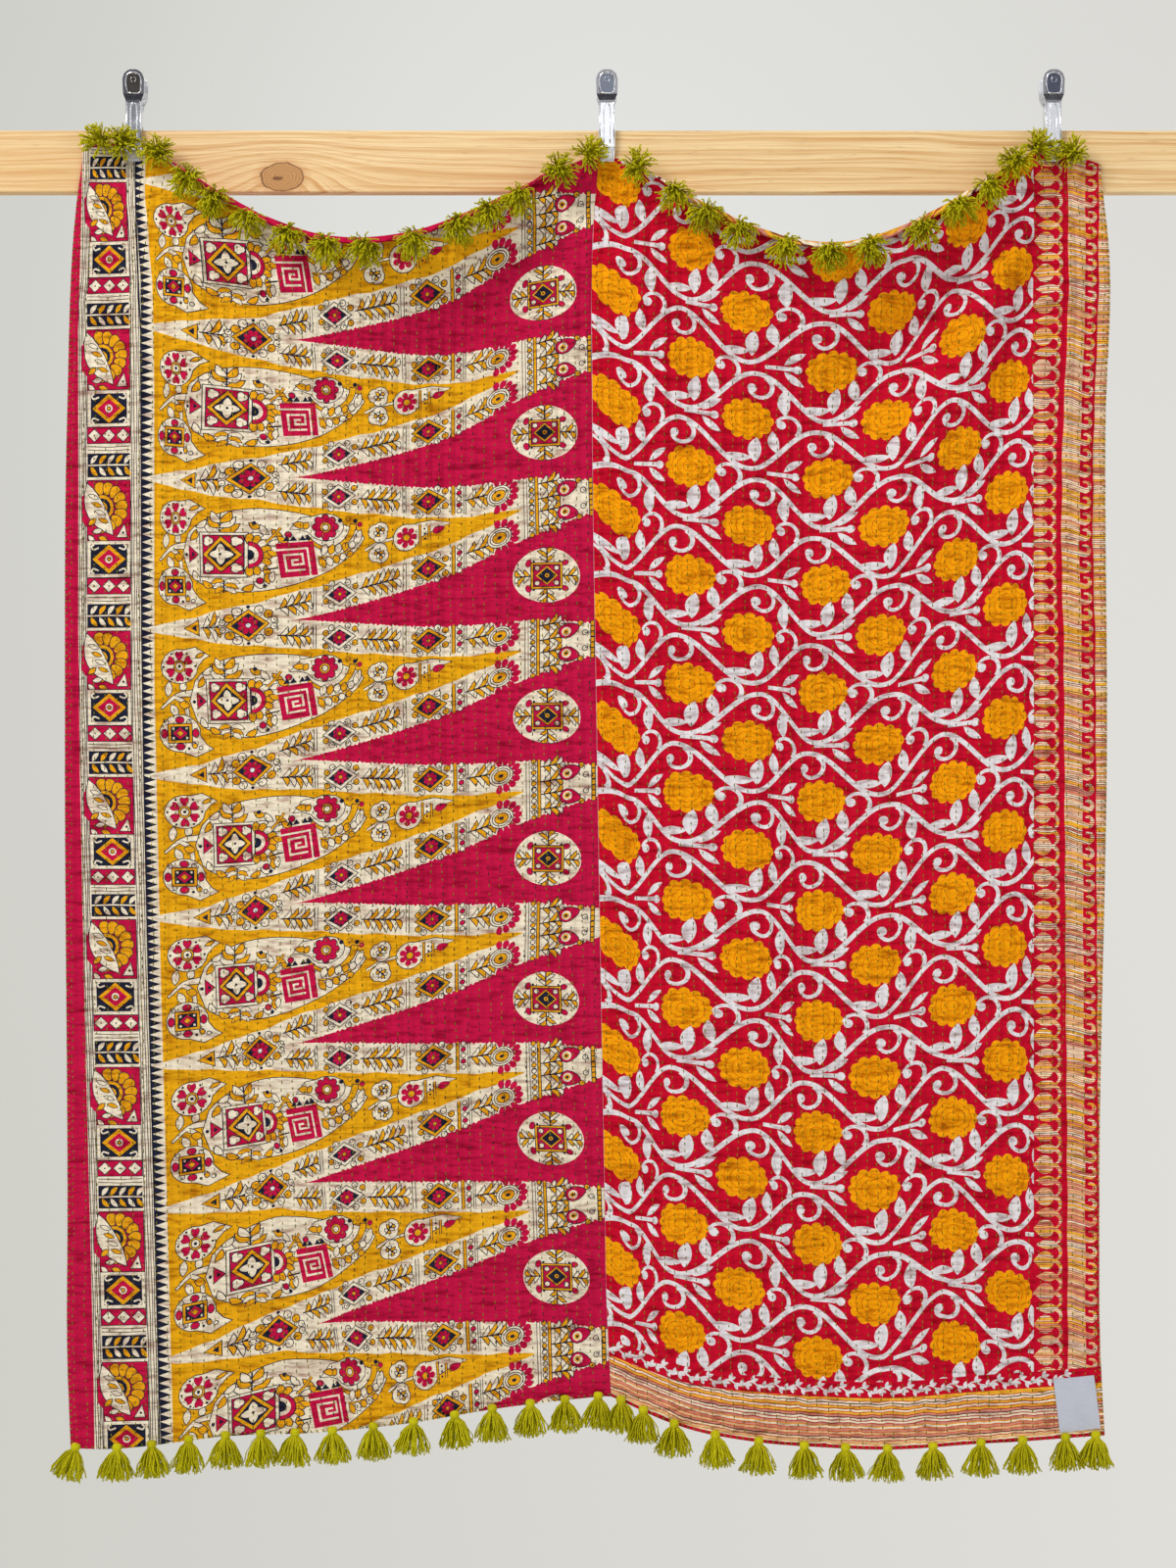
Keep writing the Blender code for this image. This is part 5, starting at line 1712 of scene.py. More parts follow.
@dataclass(frozen=True)
class Pine:
    """Planed pine with long wavy grain that flows round one knot."""

    knot: tuple[float, float] = (-356 * MM, -18 * MM)
    knot_half: tuple[float, float] = (25 * MM, 16.5 * MM)

    def make(self) -> bpy.types.Material:
        """Builds the material: rings of a height that bows up over the knot, and the knot itself."""
        shade = Shade("pine")
        place = shade.place()
        x, y, z = shade.axes(place)
        dx = (x - self.knot[0]) / 0.070
        dz = (z - self.knot[1]) / 0.034
        near = (0.0 - (dx * dx + dz * dz)).exponent()
        wander = shade.noise(shade.vector(x * 1.7, y * 6.0, z * 9.0), 1.0, 3.0)
        level = z + y * 0.35 - near * 0.034 + wander * 0.048
        uneven = shade.noise(shade.vector(level * 55.0, 3.0, 0.0), 1.0, 2.0) * 3.4
        rings = (level * 125.0 + uneven).fraction()
        late = (rings ** 2.6) * (1.0 - rings ** 18.0)
        strength = shade.noise(shade.vector(x * 2.0, y * 4.0, level * 60.0), 1.0, 2.0)
        streak = shade.noise(shade.vector(x * 5.0, y * 90.0, z * 420.0), 1.0, 3.0, 0.6)
        broad = shade.noise(shade.vector(x * 1.8, y * 8.0, z * 18.0), 1.0, 2.0)
        fleck = ((shade.noise(shade.vector(x * 46.0, y * 60.0, z * 520.0), 1.0, 1.0) - 0.66) * 7.0).limited()
        fine = shade.noise(shade.vector(x * 9.0, y * 90.0, level * 900.0), 1.0, 2.0, 0.6)
        grain = (late * (strength * 2.0 - 0.3) + (fine - 0.42) * 1.2 + (streak - 0.45) * 1.1).limited()
        wood = shade.mix(grain, linear((255, 228, 176)), linear((206, 144, 74)))
        wood = shade.mix((broad * 1.7 - 0.62).limited() * 0.7, wood, linear((242, 200, 136)), "MIX")
        wood = shade.mix(fleck * 0.35, wood, linear((170, 120, 76)))
        # Darker towards the left end of the board.
        wood = shade.mix(((-0.30 - x) * 4.0).limited() * 0.30, wood, linear((206, 152, 88)))
        kx = (x - self.knot[0]) / self.knot_half[0]
        kz = (z - self.knot[1]) / self.knot_half[1]
        ragged = shade.noise(place, 90.0, 2.0) * 0.26
        radius = (kx * kx + kz * kz) ** 0.5 + ragged - 0.13
        halo = (1.0 - (radius - 0.85) * 1.7).limited() * 0.62
        wood = shade.mix(halo, wood, linear((206, 134, 74)))
        inside = ((1.02 - radius) * 26.0).limited()
        rim = (1.0 - (radius - 0.99).absolute() * 15.0).limited()
        knot_rings = (radius * 6.5 + ragged * 4.0).fraction()
        knot = shade.mix(knot_rings * 0.8, linear((214, 166, 108)), linear((168, 114, 66)))
        pith_x = (kx + 0.22) / 0.30
        pith_z = (kz + 0.10) / 0.16
        pith = ((1.0 - (pith_x * pith_x + pith_z * pith_z) ** 0.5 + ragged - 0.13) * 3.0).limited()
        knot = shade.mix(pith * 0.8, knot, linear((104, 64, 40)))
        wood = shade.mix(inside, wood, knot)
        wood = shade.mix(rim * 0.8, wood, linear((92, 58, 42)))
        return shade.finish(
            Base_Color=wood,
            Roughness=streak * 0.16 + 0.50,
            Specular_IOR_Level=0.25,
            Normal=shade.bump(streak * 0.7 + late * 0.5, 0.0003, 0.6),
        )


@dataclass(frozen=True)
class Chrome:
    """Polished plate, with fine scratches and a little dulling."""

    name: str
    colour: tuple[int, int, int] = (240, 240, 242)
    roughness: float = 0.10
    dents: float = 0.00002

    def make(self) -> bpy.types.Material:
        """Builds the material."""
        shade = Shade(self.name)
        x, y, z = shade.axes(shade.place())
        scratch = shade.noise(shade.vector(x * 1800.0, y * 900.0, z * 120.0), 1.0, 2.0)
        smear = shade.noise(shade.place(), 120.0, 2.0)
        dent = shade.noise(shade.vector(x * 150.0, y * 40.0, z * 9.0), 1.0, 1.0)
        return shade.finish(
            Base_Color=shade.mix(smear * 0.15, linear(self.colour), linear((150, 152, 158))),
            Metallic=1.0,
            Roughness=smear * 0.10 + self.roughness,
            Normal=shade.bump(dent + scratch * 0.06, self.dents),
        )


@dataclass(frozen=True)
class Satin:
    """White satin weave of the label."""

    def make(self) -> bpy.types.Material:
        """Builds the material: a faint weave and creases."""
        shade = Shade("satin")
        place = shade.place()
        x, _, z = shade.axes(place)
        rib = shade.noise(shade.vector(x * 240.0, 0.0, z * 900.0), 1.0, 2.0)
        crease = shade.noise(place, 38.0, 3.0)
        tone = shade.mix(crease * 0.7, linear((204, 206, 218)), linear((180, 183, 198)))
        return shade.finish(
            Base_Color=tone, Roughness=rib * 0.2 + 0.42, Specular_IOR_Level=0.3,
            Normal=shade.bump(rib * 0.4 + crease * 1.6, 0.0012, 0.8),
        )


@dataclass
class Throw:
    """The two panels: their printed faces, their reverse, their stitches and edge stitches."""

    seam_gap: float = 0.0003
    rests: tuple[str, ...] = ("rail",)

    def column_side(self, column: float) -> Callable[[Array], Array]:
        """A function from drops to points (x, h) in millimetres down one column."""

        def side(drops: Array) -> Array:
            """Points down the column."""
            x, h = CLOTH.place(column, drops)
            return np.stack([x, h], axis=1) / MM

        return side

    def line_side(self, x_mm: float) -> Callable[[Array], Array]:
        """A function from drops to points straight down one line."""

        def side(drops: Array) -> Array:
            """Points down the line."""
            x = np.full(len(drops), x_mm * MM)
            start = CLOTH.start(x)
            h = start + (CLOTH.bottom(x) - start) * np.clip(drops, 0, 1)
            return np.stack([x, h + np.clip(-drops, 0, 1) * CLOTH.curl_length], axis=1) / MM

        return side

    def border_side(self, block: BlockPrint) -> Callable[[Array], Array]:
        """A function from drops to points down the left border's inner edge."""

        def side(drops: Array) -> Array:
            """Points down the border's edge, from the curl's end to the bottom hem."""
            x_top = -512.6
            h = CLOTH.start(np.array([x_top * MM]))[0] / MM
            low = -1497.0
            h_down = h + (low - h) * np.clip(drops, 0, 1) + np.clip(-drops, 0, 1) * CLOTH.curl_length / MM
            drift = np.interp(h_down, block.drift_h, block.drift_x)
            x = block.edge_x + block.border_u + drift
            limit = CLOTH.bottom(x * MM) / MM
            top = (CLOTH.start(x * MM) + CLOTH.curl_length) / MM
            share = (h_down - low) / (h + CLOTH.curl_length / MM - low)
            return np.stack([x, limit + (top - limit) * share], axis=1)

        return side

    def build(self) -> None:
        """Builds the faces, the reverse, the stitches and the whip stitches."""
        cotton_left = PrintedCotton("printed_cotton_left", False).make()
        cotton_right = PrintedCotton("printed_cotton_right", True).make()
        block, vines = BlockPrint(), VinePrint()
        inner, middle = self.border_side(block), self.line_side(-226.0)
        fringe = self.line_side(517.5)
        edge = self.seam_gap / 1.2
        field_print, border_print = block.shapes(False), block.shapes(True)
        pieces = (
            (PrintedPiece("panel_left_border", Ink.MAGENTA, self.column_side(-1.0), inner,
                          (0.10, 1.50), ("panel_left",), "print_left"), border_print, cotton_left),
            (PrintedPiece("panel_left_field", Ink.OCHRE, inner, middle,
                          (0.28, 1.50), ("panel_left",), "print_left"), field_print, cotton_left),
            (PrintedPiece("panel_left_spears", Ink.OCHRE, middle, self.column_side(-edge),
                          (0.24, 1.48), ("panel_left",), "print_left"), field_print, cotton_left),
            (PrintedPiece("panel_right_vines", Ink.CRIMSON, self.column_side(edge), fringe,
                          (0.52, 1.50), ("panel_right",), "print_right"),
             vines.shapes() + vines.end_band(), cotton_right),
            (PrintedPiece("panel_right_border", Ink.CRIMSON, fringe, self.column_side(1.0),
                          (0.085, 1.50), ("panel_right",), "print_right"),
             vines.border() + vines.end_band(), cotton_right),
        )
        for piece, shapes, cotton in pieces:
            face = piece.build(shapes, cotton)
            list(self.rests)
        self.build_reverse(
            "panel_left_reverse", -1.0, -edge, Ink.MAGENTA, cotton_left, "panel_left", "print_left"
        )
        self.build_reverse(
            "panel_right_reverse", edge, 1.0, Ink.STRAW, cotton_right, "panel_right", "print_right"
        )
        self.build_stitches()
        self.build_edge_stitches()

    def build_reverse(
        self, name: str, first: float, last: float, ink: Ink,
        material: bpy.types.Material, node: str, slot: str,
    ) -> None:
        """The reverse of a panel with its four rims, as one grid that wraps round the edges.

        Args:
            name: the piece's name.
            first: the left column.
            last: the right column.
            ink: the backing cloth's colour.
            material: its material.
            node: the CAD node that it replaces.
            slot: the record's material slot.
        """
        column, drop_at = np.meshgrid(
            np.linspace(first, last, 84),
            np.concatenate([np.linspace(-1, 0, 8)[:-1], np.linspace(0, 1, 128) ** 1.15]),
        )
        x, h = CLOTH.place(column, drop_at)
        half = CLOTH.thick / 2
        back = CLOTH.middle(x, h) - CLOTH.normal(x, h) * (half - CLOTH.crease(x, h) * 0.6)[..., None]
        front = CLOTH.face(x, h, -0.05 * MM)[0]
        grid = np.concatenate([front[:1], back, front[-1:]])
        left = np.concatenate([front[:1, :1], front[:, :1], front[-1:, :1]])
        right = np.concatenate([front[:1, -1:], front[:, -1:], front[-1:, -1:]])
        grid = np.concatenate([left, grid, right], axis=1)
        rows, columns = grid.shape[:2]
        index = np.arange(rows * columns).reshape(rows, columns)
        corners = [index[:-1, :-1], index[1:, :-1], index[1:, 1:], index[:-1, 1:]]
        quads = np.stack(corners, axis=-1).reshape(-1, 4)
        mesh = new_mesh(name, grid.reshape(-1, 3), quads[:, ::-1])
        mesh.set_sharp_from_angle(angle=math.radians(50))
        flat = np.pad(np.stack([x, h], axis=-1), ((1, 1), (1, 1), (0, 0)), mode="edge").reshape(-1, 2)
        used = loop_vertices(mesh)
        low = flat.min(axis=0)
        write_uv(mesh, "OFBake", (flat - low)[used] / float(max(flat.max(axis=0) - low)))
        write_uv(mesh, "quilt", quilt_place(flat[:, 0], flat[:, 1])[used])
        stripes = flat[used][:, 1] / (9 * MM)
        write_uv(mesh, "stripe", np.stack([np.full(len(used), ink is Ink.STRAW), stripes], axis=1))
        layer = mesh.color_attributes.new("print", "FLOAT_COLOR", "CORNER")
        colour = np.tile((*ink.linear, 1.0), (len(used), 1))
        layer.data.foreach_set("color", colour.astype(np.float32).ravel())
        piece = new_object(name, mesh, material, slot)
        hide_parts(node)
        list(self.rests)

    def build_stitches(self) -> None:
        """Running stitches in upright columns, staggered, as small raised bars of thread."""
        thread = Thread("stitch_thread", (158, 150, 30), (92, 94, 14)).make()
        dark = Thread("stitch_thread_dark", (58, 60, 52), (28, 30, 40)).make()
        count = 172
        half = STITCH_COLUMNS // 2
        column = np.arange(-half, half) + 0.5
        index = np.arange(count)
        cc, ii = np.meshgrid(column, index, indexing="ij")
        rng = np.random.default_rng(5)
        jitter = rng.uniform(-0.18, 0.18, cc.shape)
        drop_at = (ii + 0.5 + 0.5 * (np.round(cc - 0.5) % 2) + jitter) / (count + 1)
        x, h = CLOTH.place(cc / half, drop_at)
        x = x + 0.0009 * np.sin(ii * 0.7 + cc * 3.0) + rng.uniform(-0.0003, 0.0003, cc.shape)
        length = rng.uniform(2.1, 3.0, cc.shape) * MM
        keep = h < CLOTH.start(x) - 4 * MM
        field_one = (cc < 0) & (x > -0.32) & (rng.random(cc.shape) < 0.34)
        for name, chosen, material in (
            ("stitches_left", keep & (cc < 0) & ~field_one, thread),
            ("stitches_right", keep & (cc > 0), thread),
            ("stitches_dark", keep & field_one, dark),
        ):
            self.bars(name, x[chosen], h[chosen], np.zeros(chosen.sum()), length[chosen], 0.72 * MM, material)

    def bars(
        self, name: str, x: Array, h: Array, turn: Array, half_length: Array, half_width: float,
        material: bpy.types.Material,
    ) -> None:
        """Small closed spindles of thread on the face, whose ends dip into the cloth.

        Args:
            name: the piece's name.
            x: the bars' middles across.
            h: their heights on the cloth.
            turn: how far each is turned from upright, in radians.
            half_length: half of each bar's length.
            half_width: half of their width.
            material: the thread's material.
        """
        shape = np.array([(0, -1, -0.15), (-1, 0, 0.1), (1, 0, 0.1), (0, 0, 1), (0, 1, -0.15)])
        faces = np.array([(0, 1, 2), (0, 2, 3), (0, 3, 1), (4, 2, 1), (4, 3, 2), (4, 1, 3)])
        dx = shape[:, 0] * half_width
        dh = shape[None, :, 1] * half_length[:, None]
        c, s = np.cos(turn)[:, None], np.sin(turn)[:, None]
        px = x[:, None] + dx[None] * c - dh * s
        ph = h[:, None] + dx[None] * s + dh * c
        lift = np.broadcast_to((shape[:, 2] * 0.7 + 0.2) * MM, px.shape)
        points = CLOTH.face(px, ph, lift)[0].reshape(-1, 3)
        index = faces[None] + 5 * np.arange(len(x))[:, None, None]
        piece = new_object(name, new_mesh(name, points, index.reshape(-1, 3)), material, None)
        log.info("%s: %d stitches on %s", name, len(x), piece.name)

    def build_edge_stitches(self) -> None:
        """Olive whip stitches along the two sides and the bottom hem."""
        thread = Thread("edge_thread", (150, 152, 32), (96, 100, 24)).make()
        rng = np.random.default_rng(11)
        places, turns = [], []
        for column in (-1.0, 1.0):
            drop_at = np.linspace(0.01, 0.995, 210)
            x, h = CLOTH.place(column, drop_at)
            places.append(np.stack([x - math.copysign(1.6 * MM, column), h], axis=1))
            turns.append(np.full(len(x), math.copysign(0.9, column)))
        bottom = np.linspace(-0.596, 0.596, 170)
        places.append(np.stack([bottom, CLOTH.bottom(bottom) + 1.8 * MM], axis=1))
        turns.append(np.full(len(bottom), 0.5))
        place = np.concatenate(places)
        turn = np.concatenate(turns) + rng.uniform(-0.2, 0.2, len(place))
        lengths = np.full(len(place), 3.0 * MM)
        self.bars("edge_stitches", place[:, 0], place[:, 1], turn, lengths, 0.8 * MM, thread)


@dataclass
class Tassels:
    """The yarn tassels: a wound head and many fine strands each."""

    strands: int = 98
    strand_points: int = 6
    strand_radius: float = 0.95 * MM
    head_radius: float = 5.6 * MM
    head_length: float = 11 * MM
    bottom_x: tuple[int, ...] = (
        -592, -546, -507, -464, -421, -380, -339, -296, -249, -202, -155, -111, -67, -27,
        12, 38, 64, 100, 147, 198, 251, 299, 348, 400, 456, 504, 553, 588,
    )
    strips: tuple[tuple[int, ...], ...] = (
        (-566, -546), (-500, -461), (-431, -390), (-345, -299), (-255, -200), (-149, -113),
        (-80, -34, 0), (56, 100), (135, 174), (225, 275), (324, 382), (425, 461), (494, 520), (566,),
    )

    # The tassels by the clips that lean over them, and how far.
    leans: tuple[tuple[int, float], ...] = ((-546, 0.34), (-34, 0.10), (0, 0.16), (520, 0.18), (566, -0.34))

    def hem(self, x: float, drop_at: float) -> Array:
        """The middle of the hem's edge at x, for the top (-1) or the bottom (1)."""
        across = np.linspace(-1, 1, 801)
        hem_x, hem_h = CLOTH.place(across, drop_at)
        h = np.interp(x, hem_x, hem_h)
        return CLOTH.middle(np.array([x]), np.array([h]))[0]

    def head(self, top: Array, axis: Array) -> tuple[Array, Array]:
        """A wound head: a round profile with small ridges, carried along the axis.

        Args:
            top: its upper end.
            axis: the way it points.

        Returns:
            Its points and faces.
        """
        t = np.linspace(0, 1, 12)
        radius = self.head_radius * np.sin(np.pi * np.clip(0.16 + 0.72 * t, 0, 1)) ** 0.6
        radius = radius * (1 + 0.05 * np.cos(t * 2 * np.pi * 5))
        radius[0] = radius[-1] = 0.3 * MM
        turn = np.linspace(0, 2 * np.pi, 12, endpoint=False)
        side, other = frame_of(axis)
        ring = side[None] * np.cos(turn)[:, None] + other[None] * np.sin(turn)[:, None]
        points = top + axis * (t * self.head_length)[:, None, None] + ring[None] * radius[:, None, None]
        return tube_of(points)

    def skirt(
        self, top: Array, axis: Array, length: float, flare: float, dome: float, rng: Any, drape: float
    ) -> tuple[Array, Array]:
        """Fine three-sided strands that leave the head and spread.

        Each strand's centre is top + axis * reach + outward * flare * t^0.6, plus a wave, and
        gravity pulls its end down by drape * t^2. The dome shortens the outer strands' reach, so
        that the tips lie on a dome.

        Args:
            top: the head's upper end.
            axis: the way the tassel points.
            length: from the head's upper end to the strands' tips.
            flare: how far the outermost tips lie off the axis.
            dome: how much shorter the outermost strands reach.
            rng: the random source.
            drape: how far the tips sag.

        Returns:
            The strands' points and faces.
        """
        n = self.strands
        turn = rng.uniform(0, 2 * np.pi, n)
        out = np.sqrt(rng.uniform(0.02, 1, n))
        reach = (length - self.head_length) * (1 - dome * out**2) * rng.uniform(0.84, 1.06, n)
        reach = reach + self.head_length
        side, other = frame_of(axis)
        t = np.linspace(0, 1, self.strand_points)[None]
        wave_a = rng.uniform(0.6, 2.6, (n, 1)) * MM
        wave_a = wave_a * np.sin(t * rng.uniform(5, 12, (n, 1)) + rng.uniform(0, 6, (n, 1)))
        wave_b = rng.uniform(0.6, 2.6, (n, 1)) * MM
        wave_b = wave_b * np.sin(t * rng.uniform(5, 12, (n, 1)) + rng.uniform(0, 6, (n, 1)))
        start = self.head_length * 0.72
        along = start + (reach[:, None] - start) * t
        grow = self.head_radius * 0.62 * out[:, None] + flare * out[:, None] * t**0.6
        a = np.cos(turn)[:, None] * grow + wave_a * t
        b = np.sin(turn)[:, None] * grow + wave_b * t
        centre = top + axis * along[..., None] + side * a[..., None] + other * b[..., None]
        centre[..., 2] -= drape * t**2 * rng.uniform(0.6, 1.2, (n, 1))
        corner = np.linspace(0, 2 * np.pi, 3, endpoint=False)
        ring = side * np.cos(corner)[:, None] + other * np.sin(corner)[:, None]
        thick = self.strand_radius * np.ones_like(t) * rng.uniform(0.85, 1.1, (n, 1))
        points = centre[:, :, None, :] + ring[None, None] * thick[..., None, None]
        found, faces, offset = [], [], 0
        for strand in points:
            p, f = tube_of(strand)
            found.append(p)
            faces.append(f + offset)
            offset += len(p)
        return np.concatenate(found), np.concatenate(faces)

    def build(self) -> None:
        """Builds the bottom tassels as one piece for each panel, and the top ones likewise."""
        yarn = Thread("tassel_yarn", (220, 212, 20), (168, 160, 4), 420.0).make()
        rng = np.random.default_rng(3)
        groups: dict[str, list[tuple[Array, Array]]] = {}
        nodes: dict[str, list[str]] = {}
        for number, x in enumerate(self.bottom_x, 1):
            name = "tassels_bottom_left" if number <= 14 else "tassels_bottom_right"
            top = self.hem(x * MM, 1.0) + np.array([0, -CLOTH.thick / 2 - 0.95 * self.head_radius, 7.5 * MM])
            swing = -0.3 if number == 1 else 0.05 * math.sin(2.4 * number)
            axis = unit(np.array([swing, -0.05, -1.0]))
            group = groups.setdefault(name, [])
            group.append(self.head(top, axis))
            group.append(self.skirt(top, axis, 43.5 * MM, 18.5 * MM, 0.12, rng, 0.0))
            nodes.setdefault(name, []).append(f"tassel_bottom_{number:02d}")
        for number, strip in enumerate(self.strips, 1):
            name = "tassels_top_left" if number <= 7 else "tassels_top_right"
            for x in strip:
                open_share = float(CLOTH.curl(np.array(x * MM)))
                top = self.hem(x * MM, -1.0) + np.array([0, -CLOTH.thick / 2, 0])
                rise = 0.15 - 0.75 * open_share
                lean = dict(self.leans).get(x, 0.05 * math.sin(2.4 * x))
                axis = unit(np.array([lean, -0.80, rise]))
                group = groups.setdefault(name, [])
                group.append(self.head(top, axis))
                group.append(self.skirt(top, axis, 31 * MM, 20.5 * MM, 0.75, rng, 3.5 * MM))
            nodes.setdefault(name, []).append(f"tassels_top_{number:02d}")
        for name, parts in groups.items():
            points = np.concatenate([p for p, _ in parts])
            sizes = np.cumsum([0] + [len(p) for p, _ in parts[:-1]])
            faces = np.concatenate([f + size for (_, f), size in zip(parts, sizes)])
            piece = new_object(name, new_mesh(name, points, faces), yarn, "yarn")
            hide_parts(*nodes[name])
            log.info("%s: %d triangles", name, len(faces))


def frame_of(axis: Array) -> tuple[Array, Array]:
    """Two unit vectors across an axis and each other, the first near to +X."""
    side = unit(np.array([1.0, 0.0, 0.0]) - axis * axis[0])
    return side, np.cross(axis, side)


def tube_of(rings: Array) -> tuple[Array, Array]:
    """A closed tube's points and triangles from its rings, with a fan on each end.

    Args:
        rings: points by ring and by corner.

    Returns:
        Points, and triangles that face outwards.
    """
    count, corners = rings.shape[:2]
    index = np.arange(count * corners).reshape(count, corners)
    low, high = index[:-1], index[1:]
    low_next, high_next = np.roll(low, -1, axis=1), np.roll(high, -1, axis=1)
    walls = np.concatenate([
        np.stack([low, low_next, high_next], axis=-1).reshape(-1, 3),
        np.stack([low, high_next, high], axis=-1).reshape(-1, 3),
    ])
    first, last = index[0], index[-1]
    caps = [(first[0], first[i + 1], first[i]) for i in range(1, corners - 1)]
    caps += [(last[0], last[i], last[i + 1]) for i in range(1, corners - 1)]
    return rings.reshape(-1, 3), np.concatenate([walls, np.array(caps)])


@dataclass
class Rail:
    """The planed pine board."""

    def build(self) -> None:
        """Gives the CAD's board its wood, which is the board's own finished shape."""
        wood = Pine().make()
        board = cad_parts["rail"]
        board.data.materials.clear()
        board.data.materials.append(wood)


@dataclass
class SpringClip:
    """A chromed clip: two pressed levers, a coil spring and its pin."""

    name: str
    x: float
    sheet: float = 1.2 * MM
    front_grip: float = -13.1 * MM
    # Height, web and reach from the jaw's face, and half width of each station, in millimetres.
    stations: tuple[tuple[float, ...], ...] = (
        (-1, 0.0, 0.0, 8.0), (4, 0.0, 0.0, 8.8), (11, 0.0, 0.0, 9.0), (16, 2.6, 0.4, 9.2),
        (36, 3.4, 0.6, 9.4), (43, 3.0, -6.0, 9.4), (47, 2.6, -14.5, 9.4), (54, 2.4, -14.5, 9.4),
        (58, 2.4, -5.0, 9.4), (67, 2.6, 0.0, 9.2), (70, 3.0, 0.6, 9.4), (77, 4.4, 1.8, 12.2),
        (94, 6.6, 4.2, 12.6), (100, 7.4, 5.2, 10.4), (103, 7.8, 6.0, 7.0), (104.5, 8.0, 6.8, 3.5),
    )

    def build(self, chrome: bpy.types.Material, dark: bpy.types.Material, bright: bpy.types.Material) -> None:
        """Polishes the levers and adds the head's inset, a sheet whose dark colour is a painted reflection,
        the ribs, the jaw's pad and the coil spring.
        """
        for part in ("front_lever", "rear_lever"):
            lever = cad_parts[f"clip_{self.name}_{part}"]
            lever.data.materials.clear()
            lever.data.materials.append(chrome)
            edge = lever.modifiers.new("rolled_edge", "BEVEL")
            edge.width = 0.5 * MM
            edge.segments = 3
            edge.limit_method = "ANGLE"
            edge.angle_limit = math.radians(40)
        # The dark material is a painted reflection for the head's panel.
        self.add_painted_reflection_panel(dark)
        self.add_beads(chrome)
        self.add_pad(bright)
        self.add_spring(chrome)

    def web_y(self, z: Array) -> Array:
        """Y of the front lever's outer face at a height."""
        web = np.interp(z / MM, table(self.stations, 0), table(self.stations, 1))
        return self.front_grip - web * MM - self.sheet

    def add_painted_reflection_panel(self, dark: bpy.types.Material) -> None:
        """The sunk panel in the head: a sheet that follows the web, dark with a painted reflection."""
        across, up = np.meshgrid(np.linspace(-1, 1, 21), np.linspace(0, 1, 27))
        z = 78 * MM + up * 22 * MM
        half = 8.6 * MM * (1 - 0.35 * up**6)
        x = self.x + across * half
        y = self.web_y(z) - 0.12 * MM
        front = np.stack([x, y, z], axis=-1)
        back = front + np.array([0, 0.5 * MM, 0])
        points, faces = slab_of(front, back)
        name = f"clip_{self.name}_inset"
        new_object(name, new_mesh(name, points, faces), dark, "chrome")

    def add_beads(self, chrome: bpy.types.Material) -> None:
        """The raised bead round the head's panel, the channel's long bead and ribs, and the hole's rim."""
        head = through([(-6.6, 78), (6.6, 78), (8.4, 84), (8.6, 92), (6.4, 98.6), (0, 101), (-6.4, 98.6),
                        (-8.6, 92), (-8.4, 84), (-6.6, 78)], 4)
        shank = through([(-3.6, 20), (-3.6, 40), (-3.4, 62), (0, 66.5), (3.4, 62), (3.6, 40), (3.6, 20)], 4)
        parts = []
        ribs = [np.array([(side, 14.0), (side, 40.0), (side, 68.0)]) for side in (-8.2, 8.2)]
        turn = np.linspace(0, 2 * np.pi, 17)
        eyelet = np.stack([3.0 * np.cos(turn), 93 + 3.0 * np.sin(turn)], axis=1)
        for path, wire in (
            (head, 0.9 * MM), (shank, 0.9 * MM), (ribs[0], 1.0 * MM), (ribs[1], 1.0 * MM), (eyelet, 0.5 * MM)
        ):
            z = path[:, 1] * MM
            line = np.stack([self.x + path[:, 0] * MM, self.web_y(z), z], axis=1)
            parts.append(pipe_of(line, wire, 6))
        points = np.concatenate([p for p, _ in parts])
        starts = np.cumsum([0] + [len(p) for p, _ in parts[:-1]])
        faces = np.concatenate([f + start for (_, f), start in zip(parts, starts)])
        name = f"clip_{self.name}_beads"
        new_object(name, new_mesh(name, points, faces), chrome, "chrome")

    def add_pad(self, bright: bpy.types.Material) -> None:
        """The bare pad at the tip of the jaw, below the channel."""
        across, up = np.meshgrid(np.linspace(-7.8, 7.8, 5) * MM, np.linspace(-0.5, 12.5, 6) * MM)
        front = np.stack([self.x + across, self.web_y(up) - 0.4 * MM, up], axis=-1)
        points, faces = slab_of(front, front + np.array([0, 0.3 * MM, 0]))
        name = f"clip_{self.name}_pad"
        new_object(name, new_mesh(name, points, faces), bright, "chrome")

    def add_spring(self, chrome: bpy.types.Material) -> None:
        """A coil spring of wire on the pin, in place of the CAD's plain cylinder."""
        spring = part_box(f"clip_{self.name}_spring")
        box_low, box_high = (np.array([float(v) for v in corner]) for corner in spring)
        centre = (box_low + box_high) / 2
        length = (box_high - box_low)[0]
        turns, wire = 6.0, 0.75 * MM
        t = np.linspace(0, 1, 90)
        radius = 3.15 * MM
        line = np.stack([
            centre[0] + (t - 0.5) * (length - 2 * wire),
            centre[1] + radius * np.cos(t * turns * 2 * np.pi),
            centre[2] + radius * np.sin(t * turns * 2 * np.pi),
        ], axis=1)
        points, faces = pipe_of(line, wire, 6)
        ends = centre[0] + np.array([-0.5, 0.5]) * length
        pin = np.stack([ends, np.full(2, centre[1]), np.full(2, centre[2])], 1)
        pin_points, pin_faces = pipe_of(pin, 1.7 * MM, 12)
        name = f"clip_{self.name}_coil"
        every = np.concatenate([points, pin_points])
        every_face = np.concatenate([faces, pin_faces + len(points)])
        piece = new_object(name, new_mesh(name, every, every_face), chrome, "chrome")
        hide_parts(f"clip_{self.name}_spring")


